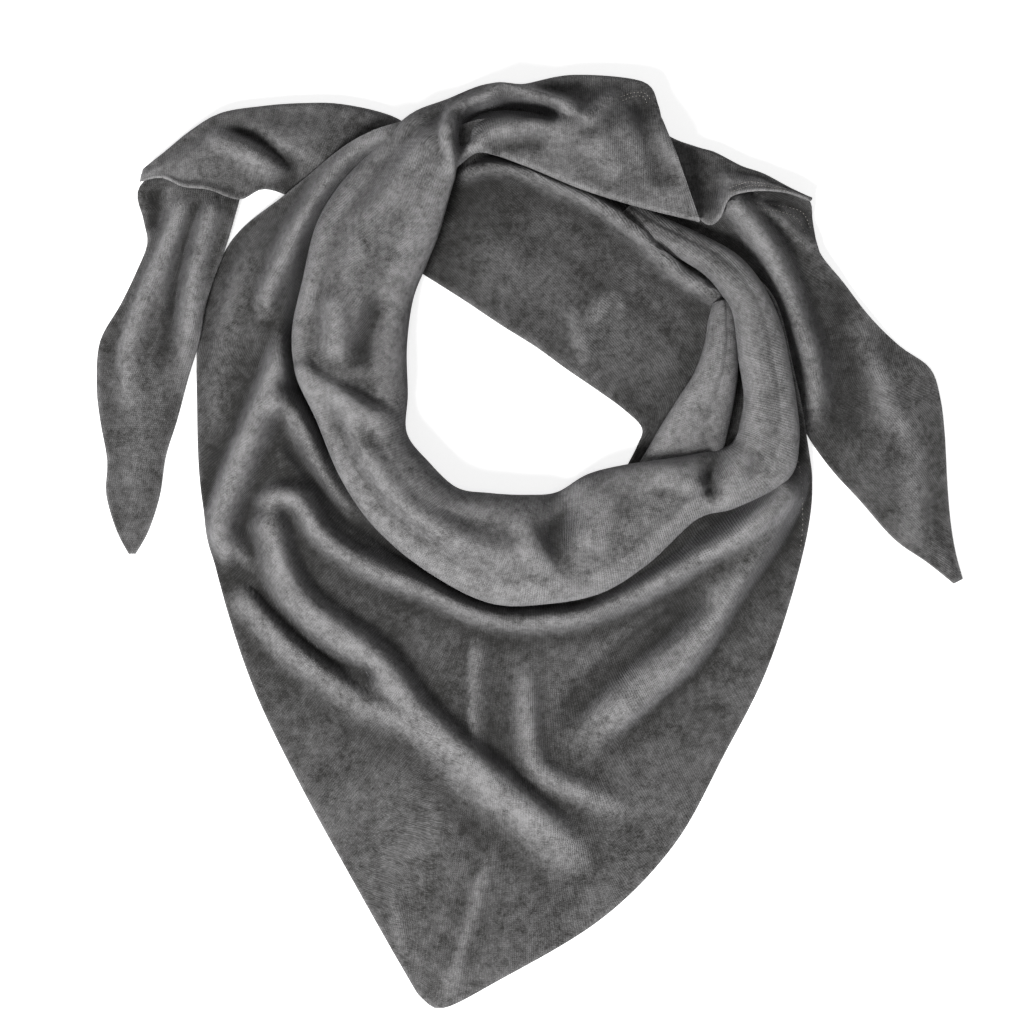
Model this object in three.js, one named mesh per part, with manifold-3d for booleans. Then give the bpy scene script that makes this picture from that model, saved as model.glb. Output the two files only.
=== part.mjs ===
import * as THREE from 'three'
import Module from 'manifold-3d'

// A knitted triangle scarf laid out in a ring on a flat surface, front point towards -Y.
// Millimetres, +X to the right of the laid scarf, +Y towards the crossed back, +Z up.

// Driving sizes
const LAID_WIDTH = 594
const LAID_LENGTH = 637
const HEAP_HEIGHT = 56
const CLOTH_THICKNESS = 2
const CREASE_HEIGHT = 2.4
const FACET_LENGTH = 22.5

// Every place below is a pair: percent of the laid width from the left tail's edge, then
// percent of the laid length up from the front point. Every height is a percent of the heap.
// A band is a strip of the cloth that runs through its rows. Each row is one section, from
// the edge nearer the neck hole to the edge away from it.
//   near, far   the places of the two edges
//   lift        the heights of the cloth at the near edge, in the middle and at the far edge
//   under       the heights of the cloth that is turned under at the near and the far edge
// nearTurn and farTurn say how much of the band's width is turned under at each edge. A hem
// that isn't turned under has 0. droop is how far the end of what is turned under hangs lower.
// columns is the number of facets across the upper side, which crowd towards the near edge where
// crowd is above 1. A band with a flange has its near edge standing up inside the roll above it.

const NECK_BAND = {
  nearTurn: 0.4,
  farTurn: 0.5,
  droop: 0,
  columns: 6,
  crowd: 1,
  flange: false,
  rows: [
    { at: 'flap hem', near: [69.3, 84.3], far: [64.4, 96.7], lift: [62, 74, 52], under: [54, 40] },
    { at: 'flap corner', near: [63, 85.7], far: [62.8, 99.2], lift: [64, 78, 44], under: [54, 30] },
    { at: 'flap middle', near: [56, 87.7], far: [55, 100], lift: [66, 80, 40], under: [54, 18] },
    { at: 'flap fold', near: [49.5, 90.2], far: [49, 99], lift: [66, 76, 42], under: [54, 14] },
    { at: 'flap hollow', near: [44.6, 92.2], far: [45, 99], lift: [66, 74, 44], under: [54, 14] },
    { at: 'crossing', near: [41.7, 90.6], far: [40.6, 97.4], lift: [68, 80, 46], under: [52, 18] },
    { at: 'crossing side', near: [41.3, 88.8], far: [36.4, 95.6], lift: [72, 88, 62], under: [50, 30] },
    { at: 'collar top', near: [40.5, 86.2], far: [32.4, 92], lift: [70, 92, 66], under: [40, 32] },
    { at: 'collar', near: [39.5, 83], far: [28.6, 88.4], lift: [62, 92, 68], under: [22, 22] },
    { at: 'collar foot', near: [38, 79.6], far: [25.8, 84], lift: [54, 88, 66], under: [14, 26] },
    { at: 'hole top left', near: [36.5, 76], far: [24.2, 78], lift: [46, 82, 64], under: [9, 26] },
    { at: 'left side', near: [35.8, 71], far: [23, 72.6], lift: [42, 80, 62], under: [8, 26] },
    { at: 'left side low', near: [35.9, 66], far: [23.5, 68], lift: [42, 82, 64], under: [8, 26] },
    { at: 'hole bottom left', near: [35.8, 61.8], far: [25.8, 63.2], lift: [42, 84, 66], under: [9, 26] },
    { at: 'lower left', near: [38.3, 58.7], far: [28.6, 57], lift: [42, 86, 68], under: [11, 26] },
    { at: 'lower left turn', near: [41.6, 55.9], far: [32.5, 51.8], lift: [42, 88, 70], under: [13, 26] },
    { at: 'bottom left', near: [45.4, 55.4], far: [38.4, 47.2], lift: [40, 90, 72], under: [15, 26] },
    { at: 'bottom', near: [49.5, 55.2], far: [45.4, 43.9], lift: [38, 90, 74], under: [16, 26] },
    { at: 'bottom dip', near: [53.4, 55.3], far: [52, 43.8], lift: [34, 86, 74], under: [16, 26] },
    { at: 'bottom right', near: [56.2, 57.5], far: [58.2, 45], lift: [38, 88, 72], under: [16, 26] },
    { at: 'right low', near: [60.8, 58.3], far: [63.6, 48.2], lift: [40, 84, 70], under: [16, 26] },
    { at: 'right', near: [66.6, 59.1], far: [69, 52.8], lift: [46, 78, 66], under: [12, 26] },
    { at: 'pocket', near: [71, 59.8], far: [73.4, 54], lift: [50, 74, 62], under: [12, 26] },
    { at: 'right corner', near: [73.4, 61.2], far: [79.3, 57.2], lift: [50, 78, 60], under: [12, 26] },
    { at: 'right turn', near: [73.6, 63.6], far: [80.4, 61], lift: [52, 76, 58], under: [12, 26] },
    { at: 'right strand', near: [73.9, 67.4], far: [79.9, 66.2], lift: [50, 74, 54], under: [12, 26] },
    { at: 'right strand mid', near: [74, 71.4], far: [78.9, 71.4], lift: [48, 70, 50], under: [12, 26] },
    { at: 'right strand top', near: [73.6, 75.6], far: [76.9, 76.2], lift: [46, 64, 46], under: [12, 24] },
    { at: 'back strand', near: [71.4, 79.2], far: [74, 80.4], lift: [42, 56, 40], under: [12, 22] },
    { at: 'back strand far', near: [67, 82.2], far: [69.3, 84], lift: [34, 46, 32], under: [8, 18] },
    { at: 'back strand end', near: [61.6, 84.9], far: [63, 87.4], lift: [24, 32, 22], under: [6, 14] },
  ],
  folds: [
    { name: 'lip', path: [[41, 93.2], [41.7, 96], [44.5, 97.4], [47.2, 98.4], [50.5, 97.9], [54, 96.4],
      [56.6, 94.7]], height: 14, left: 2.6, right: 1.9 },
    { name: 'hollow', path: [[42.2, 92.8], [42.6, 94.9], [45, 96], [48, 96.7], [51, 96.3], [54, 95.3]],
      height: -34, left: 1.9, right: 2.2 },
    { name: 'inner lip', path: [[42.6, 91.8], [45, 93.7], [48, 94.6], [51.5, 94.9], [55, 94.4]],
      height: 8, left: 1.6, right: 2.4 },
    { name: 'flap crease', path: [[56.6, 94.7], [58.4, 96], [60.6, 97.6]], height: 6, left: 2, right: 2 },
    { name: 'flap wave', path: [[60.4, 99], [61, 94.5], [62.6, 88]], height: -9, left: 2.6, right: 2.6 },
    { name: 'side ridge', path: [[24.2, 68.3], [26, 67], [29.2, 65.3], [33, 63.2], [35.6, 61.9]],
      height: 9, left: 2.8, right: 1.6 },
    { name: 'side hollow', path: [[32.9, 74], [31.4, 70.2], [31, 66.4]], height: -15, left: 2.4,
      right: 2.6 },
    { name: 'side bulge', path: [[28.6, 75.6], [28.9, 71.5], [28, 68.6]], height: 6, left: 2.4,
      right: 2.4 },
    { name: 'bottom dimple', path: [[51.6, 56], [52.4, 52.4], [52.7, 48]], height: -30, left: 3,
      right: 3.4 },
    { name: 'dimple ridge', path: [[47, 54], [49.4, 51], [52.2, 47.2]], height: 8, left: 3, right: 2 },
    { name: 'dimple side', path: [[56, 56.4], [57.4, 52.6], [56.8, 48.4]], height: 6, left: 2.6,
      right: 2.6 },
    { name: 'pocket dimple', path: [[72.9, 60], [72, 57.2], [71, 55]], height: -26, left: 2, right: 2.2 },
    { name: 'strand end', path: [[75, 63], [76.6, 61.7], [78.8, 62.1]], height: -10, left: 1.6,
      right: 1.6 },
  ],
}

const FRONT_BAND = {
  nearTurn: 0,
  farTurn: 0,
  droop: 0,
  columns: 17,
  crowd: 1.2,
  flange: true,
  rows: [
    { at: 'crossing', near: [39, 92.4], far: [36, 95.2], lift: [60, 60, 50], under: [0, 0] },
    { at: 'outer strand', near: [34, 86.8], far: [29.4, 92.4], lift: [56, 58, 50], under: [0, 0] },
    { at: 'gap corner', near: [30.6, 81.4], far: [22, 87.4], lift: [48, 46, 30], under: [0, 0] },
    { at: 'gap foot', near: [28.8, 76.8], far: [15.4, 82.3], lift: [46, 34, 8], under: [0, 0] },
    { at: 'left shoulder', near: [28, 72.4], far: [11.9, 73.6], lift: [46, 26, 0], under: [0, 0] },
    { at: 'left edge', near: [28.6, 67], far: [11.6, 64.4], lift: [46, 20, 0], under: [0, 0] },
    { at: 'left edge mid', near: [30, 62], far: [12.1, 55.2], lift: [46, 18, 0], under: [0, 0] },
    { at: 'pouch', near: [32.4, 57.4], far: [14.3, 45.4], lift: [46, 16, 0], under: [0, 0] },
    { at: 'pouch foot', near: [35.6, 53.4], far: [18.1, 34.5], lift: [46, 14, 0], under: [0, 0] },
    { at: 'lower left', near: [39, 50.4], far: [23.3, 24.4], lift: [46, 11, 0], under: [0, 0] },
    { at: 'long left', near: [42.4, 48.6], far: [29.4, 14], lift: [46, 9, 0], under: [0, 0] },
    { at: 'point left', near: [45, 47.8], far: [35.6, 3.8], lift: [46, 9, 0], under: [0, 0] },
    { at: 'point corner', near: [46.4, 47.5], far: [37.6, 1], lift: [46, 9, 0], under: [0, 0] },
    { at: 'point', near: [47.6, 47.4], far: [40.1, 0], lift: [46, 9, 0], under: [0, 0] },
    { at: 'point right', near: [49.4, 47.4], far: [45.9, 2.7], lift: [46, 9, 0], under: [0, 0] },
    { at: 'long right', near: [53.6, 47.6], far: [58, 9.4], lift: [46, 9, 0], under: [0, 0] },
    { at: 'lower right', near: [57.8, 49], far: [66.6, 17.5], lift: [46, 8, 0], under: [0, 0] },
    { at: 'right edge low', near: [61.8, 51.2], far: [72.5, 27.4], lift: [46, 8, 0], under: [0, 0] },
    { at: 'right edge', near: [65.8, 53.8], far: [77.3, 36.3], lift: [46, 10, 0], under: [0, 0] },
    { at: 'right edge mid', near: [69.6, 56.6], far: [81, 47], lift: [46, 12, 0], under: [0, 0] },
    { at: 'right edge high', near: [73, 59.6], far: [82.6, 55.3], lift: [46, 14, 0], under: [0, 0] },
    { at: 'right hem', near: [75.4, 63], far: [81.9, 61.6], lift: [44, 22, 12], under: [0, 0] },
    { at: 'right hem mid', near: [75.6, 68.6], far: [80.3, 68], lift: [40, 28, 30], under: [0, 0] },
    { at: 'right hem high', near: [73.4, 75.6], far: [78, 76], lift: [38, 30, 36], under: [0, 0] },
    { at: 'right hem end', near: [69.6, 81.4], far: [73.6, 82.8], lift: [30, 26, 30], under: [0, 0] },
  ],
  folds: [
    { name: 'pouch edge', path: [[23.4, 76], [20.9, 68], [19.3, 62], [17.3, 57.4], [15.9, 53.4],
      [16, 49.6], [18.6, 46.4], [22.4, 43.4], [26, 40.4], [29, 38.2], [32, 37.4]],
    height: 34, left: 5, right: 2.4 },
    { name: 'arch', path: [[20.4, 65], [22.8, 63.4], [25.4, 60.6], [27.6, 57.6], [31, 54], [36, 50]],
      height: 16, left: 2.6, right: 3 },
    { name: 'pouch hollow', path: [[20.6, 59], [22.6, 56.4], [26, 53.8], [31, 50.4], [37, 47.6]],
      height: -12, left: 3, right: 3 },
    { name: 'under fold', path: [[21.6, 53.4], [24.4, 53], [27, 49.8], [30.5, 47.2], [36, 44.9],
      [42, 42.8], [48, 41.8], [54, 42], [60, 44.2], [66, 47.4], [72, 50.6], [77.6, 54.2], [80, 58]],
    height: 27, left: 4.4, right: 3 },
    { name: 'long ridge', path: [[21, 53.4], [21.7, 49], [23, 45], [25.4, 42], [29.4, 39.4],
      [33.4, 36.6], [36, 34], [39, 30.8], [43, 27.6], [47, 24.4], [51, 21.4], [54.4, 18.6],
      [56.2, 15.6]], height: 25, left: 3, right: 6.4 },
    { name: 'second strand', path: [[16.4, 44.6], [18.9, 40.9], [22, 37.8], [25.3, 35.4],
      [28.6, 33], [33, 30.4]], height: 15, left: 2.2, right: 2.8 },
    { name: 'dimple', path: [[29.6, 36], [33.4, 34]], height: -14, left: 2, right: 2 },
    { name: 'front ridge', path: [[50.6, 36], [50.6, 32], [50.8, 28], [51.6, 25], [54.6, 22.8],
      [58, 21.2], [61.4, 19.2]], height: 12, left: 2.6, right: 2.6 },
    { name: 'side fold', path: [[79.6, 57], [77.6, 52.6], [75.6, 48], [72.8, 43.4], [69.6, 40],
      [65.6, 36.8], [61.4, 33.6], [58, 30], [55.4, 26]], height: 24, left: 2, right: 5 },
    { name: 'side valley', path: [[68, 44], [64.4, 40.4], [60, 36.4], [56, 32]], height: -8, left: 3,
      right: 3 },
    { name: 'small fold', path: [[34.4, 12.4], [34.9, 9], [35.6, 6]], height: 5, left: 1.6, right: 1.6 },
  ],
  creases: [
    { name: 'centre crease', path: [[43.2, 40], [42.8, 34], [42.9, 29.7], [43.6, 26.6]], left: 1.2,
      right: 2.2 },
    { name: 'centre crease low', path: [[45.3, 19.4], [43.8, 15], [42.2, 9.6], [40.7, 4.8], [40.1, 1]],
      left: 2.2, right: 1.2 },
  ],
}

const BACK_BAND = {
  nearTurn: 0,
  farTurn: 0.25,
  droop: 4,
  columns: 8,
  crowd: 1,
  flange: false,
  rows: [
    { at: 'ribbon tip', near: [5.3, 88.7], far: [5.7, 90], lift: [30, 32, 30], under: [22, 22] },
    { at: 'ribbon hem', near: [8, 89], far: [8.2, 91.8], lift: [36, 40, 34], under: [22, 22] },
    { at: 'ribbon hem mid', near: [10.6, 88], far: [11.2, 94.1], lift: [40, 46, 34], under: [20, 20] },
    { at: 'ribbon fold', near: [13.4, 87.7], far: [14.6, 96], lift: [42, 46, 32], under: [16, 16] },
    { at: 'ribbon', near: [16.8, 86.7], far: [19.6, 96.8], lift: [40, 46, 30], under: [12, 12] },
    { at: 'gap top', near: [19.6, 87.9], far: [24, 97.1], lift: [32, 44, 30], under: [10, 10] },
    { at: 'ribbon root', near: [23.4, 86.8], far: [28.4, 97], lift: [16, 40, 30], under: [8, 8] },
    { at: 'under strand', near: [29, 84], far: [34, 95.8], lift: [8, 26, 28], under: [6, 6] },
    { at: 'under collar', near: [34, 81.2], far: [38.6, 93.4], lift: [1, 10, 26], under: [6, 14] },
    { at: 'neck edge left', near: [38.4, 78.6], far: [43.4, 91.2], lift: [1, 8, 30], under: [6, 16] },
    { at: 'neck edge', near: [42.6, 76.1], far: [48.2, 91.2], lift: [1, 7, 30], under: [6, 16] },
    { at: 'neck edge mid', near: [46.6, 73.6], far: [53.2, 89.8], lift: [1, 7, 30], under: [6, 16] },
    { at: 'back middle', near: [50.7, 71.2], far: [58.4, 87.8], lift: [1, 7, 28], under: [6, 14] },
    { at: 'back', near: [54.1, 68.9], far: [63.4, 85.2], lift: [1, 8, 26], under: [6, 12] },
    { at: 'back right', near: [57.7, 66.6], far: [68.4, 81.9], lift: [1, 8, 26], under: [6, 12] },
    { at: 'hole right', near: [60.8, 64.5], far: [72.4, 77.4], lift: [1, 9, 26], under: [6, 12] },
    { at: 'hole corner', near: [62.9, 62.5], far: [73, 71.4], lift: [4, 10, 18], under: [6, 8] },
    { at: 'under side', near: [62.4, 60.6], far: [71, 64.4], lift: [8, 14, 16], under: [8, 8] },
    { at: 'under roll', near: [60.9, 57.9], far: [67.6, 57.6], lift: [14, 18, 20], under: [10, 10] },
  ],
  folds: [
    { name: 'ribbon crease', path: [[14.6, 94.4], [17, 94.6], [20, 92.9], [22.6, 90.9], [25, 88.9]],
      height: 14, left: 3.4, right: 1.8 },
    { name: 'ribbon hollow', path: [[12.4, 92.6], [15.4, 92.6], [18.6, 91.3], [22, 89]], height: -12,
      left: 1.6, right: 3 },
    { name: 'back strand', path: [[41, 89.4], [44.6, 90.3], [49, 89.8], [53.6, 88], [58.4, 85.8],
      [62.8, 83], [66.8, 79.8], [70.2, 77], [72.6, 75.6]], height: 20, left: 1.8, right: 2.4 },
    { name: 'back fold', path: [[55, 70.4], [56.6, 74], [59, 77]], height: 6, left: 2.2, right: 2.6 },
  ],
}

const SIDE_STRAND = {
  nearTurn: 0.3,
  farTurn: 0,
  droop: 8,
  columns: 2,
  crowd: 1,
  flange: false,
  rows: [
    { at: 'notch', near: [71.2, 75.6], far: [73.4, 76.8], lift: [34, 44, 38], under: [18, 18] },
    { at: 'top', near: [70.6, 73], far: [73.7, 73.6], lift: [34, 50, 40], under: [16, 16] },
    { at: 'upper', near: [70, 70.4], far: [73.9, 70], lift: [34, 54, 42], under: [14, 14] },
    { at: 'middle', near: [68.6, 67.4], far: [73.8, 66.8], lift: [34, 56, 44], under: [14, 14] },
    { at: 'lower', near: [66.4, 64.4], far: [73, 63.4], lift: [32, 54, 44], under: [12, 12] },
    { at: 'foot', near: [63.9, 61.2], far: [71.4, 60], lift: [28, 46, 40], under: [10, 10] },
    { at: 'under roll', near: [62.4, 58.4], far: [68.6, 57], lift: [22, 32, 28], under: [8, 8] },
  ],
  folds: [],
}

const RIGHT_TAIL = {
  nearTurn: 0,
  farTurn: 0,
  droop: 0,
  columns: 6,
  crowd: 1,
  flange: false,
  rows: [
    { at: 'root', near: [69, 88.4], far: [78.6, 88.2], lift: [28, 28, 26], under: [0, 0] },
    { at: 'under flap', near: [71, 87], far: [81.9, 86.9], lift: [30, 32, 24], under: [0, 0] },
    { at: 'top', near: [72.4, 83.6], far: [82.4, 84.6], lift: [24, 28, 14], under: [0, 0] },
    { at: 'shoulder', near: [74.2, 80.4], far: [83.3, 81.3], lift: [20, 26, 18], under: [0, 0] },
    { at: 'upper', near: [76.2, 77], far: [86.2, 78], lift: [18, 20, 12], under: [0, 0] },
    { at: 'upper middle', near: [77.8, 73.4], far: [89.2, 74.4], lift: [16, 16, 8], under: [0, 0] },
    { at: 'middle', near: [79.1, 69.6], far: [92.7, 71.3], lift: [14, 12, 2], under: [0, 0] },
    { at: 'corner', near: [80, 65.8], far: [96.2, 68.9], lift: [10, 10, 2], under: [0, 0] },
    { at: 'below corner', near: [81.6, 62.2], far: [97.4, 65.6], lift: [8, 8, 1], under: [0, 0] },
    { at: 'lower', near: [84.6, 58.2], far: [97.9, 61.8], lift: [6, 6, 0], under: [0, 0] },
    { at: 'lower middle', near: [88, 54.7], far: [98.2, 56.5], lift: [5, 6, 0], under: [0, 0] },
    { at: 'near tip', near: [92, 50.5], far: [98.6, 52.2], lift: [5, 6, 0], under: [0, 0] },
    { at: 'tip side', near: [95.8, 48], far: [99.2, 48.9], lift: [5, 6, 0], under: [0, 0] },
    { at: 'tip', near: [98.9, 45.7], far: [100, 46.2], lift: [4, 4, 2], under: [0, 0] },
  ],
  folds: [
    { name: 'tail ridge', path: [[72.8, 87.4], [74, 85.5], [76.7, 82.2], [78.9, 79.1], [80.4, 75.5],
      [81.7, 71.9], [82.4, 68.4], [82.3, 64.3], [83, 60.6]], height: 20, left: 2.2, right: 4 },
    { name: 'tail wave', path: [[93.6, 66], [94.6, 60], [94.6, 54], [94, 49]], height: 6, left: 3,
      right: 3 },
    { name: 'tail hollow', path: [[84.6, 79], [86.6, 73], [87.6, 67], [88, 60]], height: -5, left: 3,
      right: 3 },
  ],
}

const RIGHT_RIBBON = {
  nearTurn: 0,
  farTurn: 0.4,
  droop: 0,
  columns: 3,
  crowd: 1,
  flange: false,
  rows: [
    { at: 'under flap', near: [64.4, 88.4], far: [63.4, 94.8], lift: [46, 44, 30], under: [18, 18] },
    { at: 'hem side', near: [67.6, 86.6], far: [66.6, 93.2], lift: [48, 44, 30], under: [18, 18] },
    { at: 'hem bottom', near: [70.2, 84], far: [69.6, 92.2], lift: [52, 44, 28], under: [16, 16] },
    { at: 'hem rise', near: [71.8, 85], far: [72.2, 91.4], lift: [54, 46, 28], under: [16, 16] },
    { at: 'hem turn', near: [73.2, 87.4], far: [74.6, 90.1], lift: [52, 46, 30], under: [18, 18] },
    { at: 'hem end', near: [76.8, 88], far: [77.8, 89.2], lift: [44, 40, 30], under: [18, 18] },
    { at: 'corner', near: [81, 86.9], far: [81.7, 87.3], lift: [32, 30, 26], under: [16, 16] },
  ],
  folds: [],
}

const LEFT_TAIL = {
  nearTurn: 0,
  farTurn: 0,
  droop: 0,
  columns: 6,
  crowd: 1,
  flange: false,
  rows: [
    { at: 'fold back', near: [16.6, 93.4], far: [10.4, 91.9], lift: [24, 26, 28], under: [0, 0] },
    { at: 'under ribbon', near: [16.9, 88.4], far: [4.9, 88.4], lift: [20, 24, 36], under: [0, 0] },
    { at: 'top', near: [16, 84.6], far: [5.6, 84.6], lift: [20, 22, 20], under: [0, 0] },
    { at: 'shoulder', near: [15, 81.6], far: [6, 82.2], lift: [18, 22, 16], under: [0, 0] },
    { at: 'upper', near: [13.8, 78.8], far: [4.8, 79.4], lift: [16, 20, 12], under: [0, 0] },
    { at: 'upper middle', near: [12.6, 75.4], far: [2.9, 75.8], lift: [12, 16, 9], under: [0, 0] },
    { at: 'corner', near: [11.8, 71.6], far: [0.4, 71.8], lift: [6, 10, 3], under: [0, 0] },
    { at: 'middle', near: [10.5, 67.5], far: [0, 67], lift: [3, 8, 1], under: [0, 0] },
    { at: 'lower', near: [9.3, 63.3], far: [0.4, 63.3], lift: [1, 6, 0], under: [0, 0] },
    { at: 'lower middle', near: [8, 59.4], far: [1.2, 59], lift: [1, 6, 0], under: [0, 0] },
    { at: 'near tip', near: [7.3, 55.2], far: [1.1, 55.3], lift: [0, 5, 0], under: [0, 0] },
    { at: 'tip side', near: [6, 51.4], far: [2.3, 51.4], lift: [0, 3, 0], under: [0, 0] },
    { at: 'tip', near: [4.5, 48.9], far: [3.7, 48.9], lift: [0, 0, 0], under: [0, 0] },
  ],
  folds: [
    { name: 'left ridge', path: [[11.4, 88], [9.6, 84], [7.6, 79], [5.4, 73], [4.2, 66], [3.6, 58]],
      height: 16, left: 2.4, right: 2.8 },
    { name: 'right ridge', path: [[14.4, 87.6], [12.4, 82], [11.1, 77], [10.4, 71], [9, 65]],
      height: 15, left: 2, right: 2 },
    { name: 'valley', path: [[13, 88.6], [10.6, 82.4], [9.2, 77], [7.9, 71], [6.8, 64]], height: -12,
      left: 1.8, right: 1.8 },
  ],
}

const BANDS = [
  FRONT_BAND, BACK_BAND, SIDE_STRAND, LEFT_TAIL, RIGHT_TAIL, RIGHT_RIBBON, NECK_BAND,
]

// Sizes worked out from the ones above
const HALF_CLOTH = CLOTH_THICKNESS / 2
const TURN_STEPS = 3
const RETURN_STEPS = 1
const PATH_STEPS = 4
const NARROWEST_FOLD = FACET_LENGTH * 1.15
const FADE_SHARE = 0.22
const FAR_SHARE = 0.6
const SMALLEST_EDGE = CLOTH_THICKNESS / 40

const place = ([across, up]) => [across / 100 * LAID_WIDTH, up / 100 * LAID_LENGTH]
const height = (percent) => percent / 100 * HEAP_HEIGHT
const wide = (percent) => percent / 100 * LAID_WIDTH
const mix = (a, b, t) => a + (b - a) * t
const smooth = (t) => t * t * (3 - 2 * t)
const clamp = (value, low, high) => Math.min(Math.max(value, low), high)

// A point at t between b and c on a smooth line through a, b, c and d.
function through(a, b, c, d, t) {
  return b.map((value, i) => {
    const start = (c[i] - a[i]) / 2
    const end = (d[i] - b[i]) / 2
    const rise = c[i] - value
    const bend = 3 * rise - 2 * start - end
    const twist = start + end - 2 * rise
    return value + t * (start + t * (bend + t * twist))
  })
}

// Points on the smooth line through all the points, with the steps for each stretch given.
function smoothLine(points, stepsOf) {
  const last = points.length - 1
  const line = []
  for (let i = 0; i < last; i++) {
    const before = points[Math.max(i - 1, 0)]
    const after = points[Math.min(i + 2, last)]
    const steps = stepsOf(points[i], points[i + 1])
    for (let k = 0; k < steps; k++) {
      line.push(through(before, points[i], points[i + 1], after, k / steps))
    }
  }
  line.push(points[last])
  return line
}

// One row as plain numbers in millimetres: near x y, far x y, three lifts, two unders.
function rowSizes(row) {
  return [...place(row.near), ...place(row.far), ...row.lift.map(height), ...row.under.map(height)]
}

function sectionRows(band) {
  return smoothLine(band.rows.map(rowSizes), (a, b) => {
    const near = Math.hypot(b[0] - a[0], b[1] - a[1])
    const far = Math.hypot(b[2] - a[2], b[3] - a[3])
    return Math.max(1, Math.round(mix(near, far, FAR_SHARE) / FACET_LENGTH))
  })
}

// The middle of the cloth across one section: x, y, z and how far a fold may move it.
function sectionPoints(row, band) {
  const [nearX, nearY, farX, farY, nearLift, middleLift, farLift, nearUnder, farUnder] = row
  const width = Math.hypot(farX - nearX, farY - nearY)
  const roomFor = (rise, turn) => turn > 0 ? clamp(rise / 2, HALF_CLOTH, width / 3) : 0
  const nearRound = roomFor(nearLift - nearUnder, band.nearTurn)
  const farRound = roomFor(farLift - farUnder, band.farTurn)
  const at = (distance, z, free) => {
    const t = distance / width
    return [mix(nearX, farX, t), mix(nearY, farY, t), Math.max(z, HALF_CLOTH), free]
  }
  const points = []
  const turned = (round, lift, under, turn, side) => {
    const from = side > 0 ? 0 : width
    const back = turn * width
    const low = Math.min(under, lift - CLOTH_THICKNESS)
    const ring = []
    for (let k = 0; k < RETURN_STEPS; k++) {
      const t = 1 - k / RETURN_STEPS
      ring.push(at(from + side * (round + back * t), low - height(band.droop) * t, 0))
    }
    for (let k = 0; k < TURN_STEPS; k++) {
      const angle = Math.PI * k / TURN_STEPS
      const out = round * (1 - Math.sin(angle))
      ring.push(at(from + side * out, mix(low, lift, (1 - Math.cos(angle)) / 2), k / TURN_STEPS))
    }
    return ring
  }
  if (nearRound > 0) {
    points.push(...turned(nearRound, nearLift, nearUnder, band.nearTurn, 1))
  }
  for (let k = 0; k <= band.columns; k++) {
    const t = (k / band.columns) ** band.crowd
    const start = band.flange && k > 0 ? middleLift : nearLift
    const z = t < 0.5
      ? mix(start, middleLift, smooth(t * 2))
      : mix(middleLift, farLift, smooth(t * 2 - 1))
    points.push(at(mix(nearRound, width - farRound, t), z, 1))
  }
  if (farRound > 0) {
    points.push(...turned(farRound, farLift, farUnder, band.farTurn, -1).reverse())
  }
  return points
}

// A fold as a line of points in millimetres with the sizes that go with it.
function foldSizes(fold, tall) {
  return {
    line: smoothLine(fold.path.map(place), () => PATH_STEPS),
    tall,
    left: Math.max(wide(fold.left), NARROWEST_FOLD),
    right: Math.max(wide(fold.right), NARROWEST_FOLD),
  }
}

// How far a fold lifts the cloth at a place.
function foldLift(fold, x, y) {
  const { line } = fold
  let best = Infinity
  let side = 0
  let along = 0
  for (let i = 0; i + 1 < line.length; i++) {
    const [ax, ay] = line[i]
    const dx = line[i + 1][0] - ax
    const dy = line[i + 1][1] - ay
    const size = Math.hypot(dx, dy)
    const t = clamp(((x - ax) * dx + (y - ay) * dy) / (size * size), 0, 1)
    const gap = Math.hypot(x - ax - dx * t, y - ay - dy * t)
    if (gap < best) {
      best = gap
      side = (x - ax) * dy - (y - ay) * dx
      along = (i + t) / (line.length - 1)
    }
  }
  const reach = best / (side > 0 ? fold.right : fold.left)
  if (reach >= 1) {
    return 0
  }
  const ends = smooth(clamp(Math.min(along, 1 - along) / FADE_SHARE, 0, 1))
  return fold.tall * (1 + Math.cos(Math.PI * reach)) / 2 * ends
}

// The middle sheet of a band as rows of points.
function bandSheet(band) {
  const rows = sectionRows(band)
  const folds = band.folds.map((fold) => foldSizes(fold, height(fold.height)))
  folds.push(...(band.creases ?? []).map((crease) => foldSizes(crease, CREASE_HEIGHT)))
  return rows.map((row) => sectionPoints(row, band).map(([x, y, z, free]) => {
    const lift = folds.reduce((sum, fold) => sum + foldLift(fold, x, y), 0) * free
    return new THREE.Vector3(x, y, Math.max(z + lift, HALF_CLOTH))
  }))
}

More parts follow.
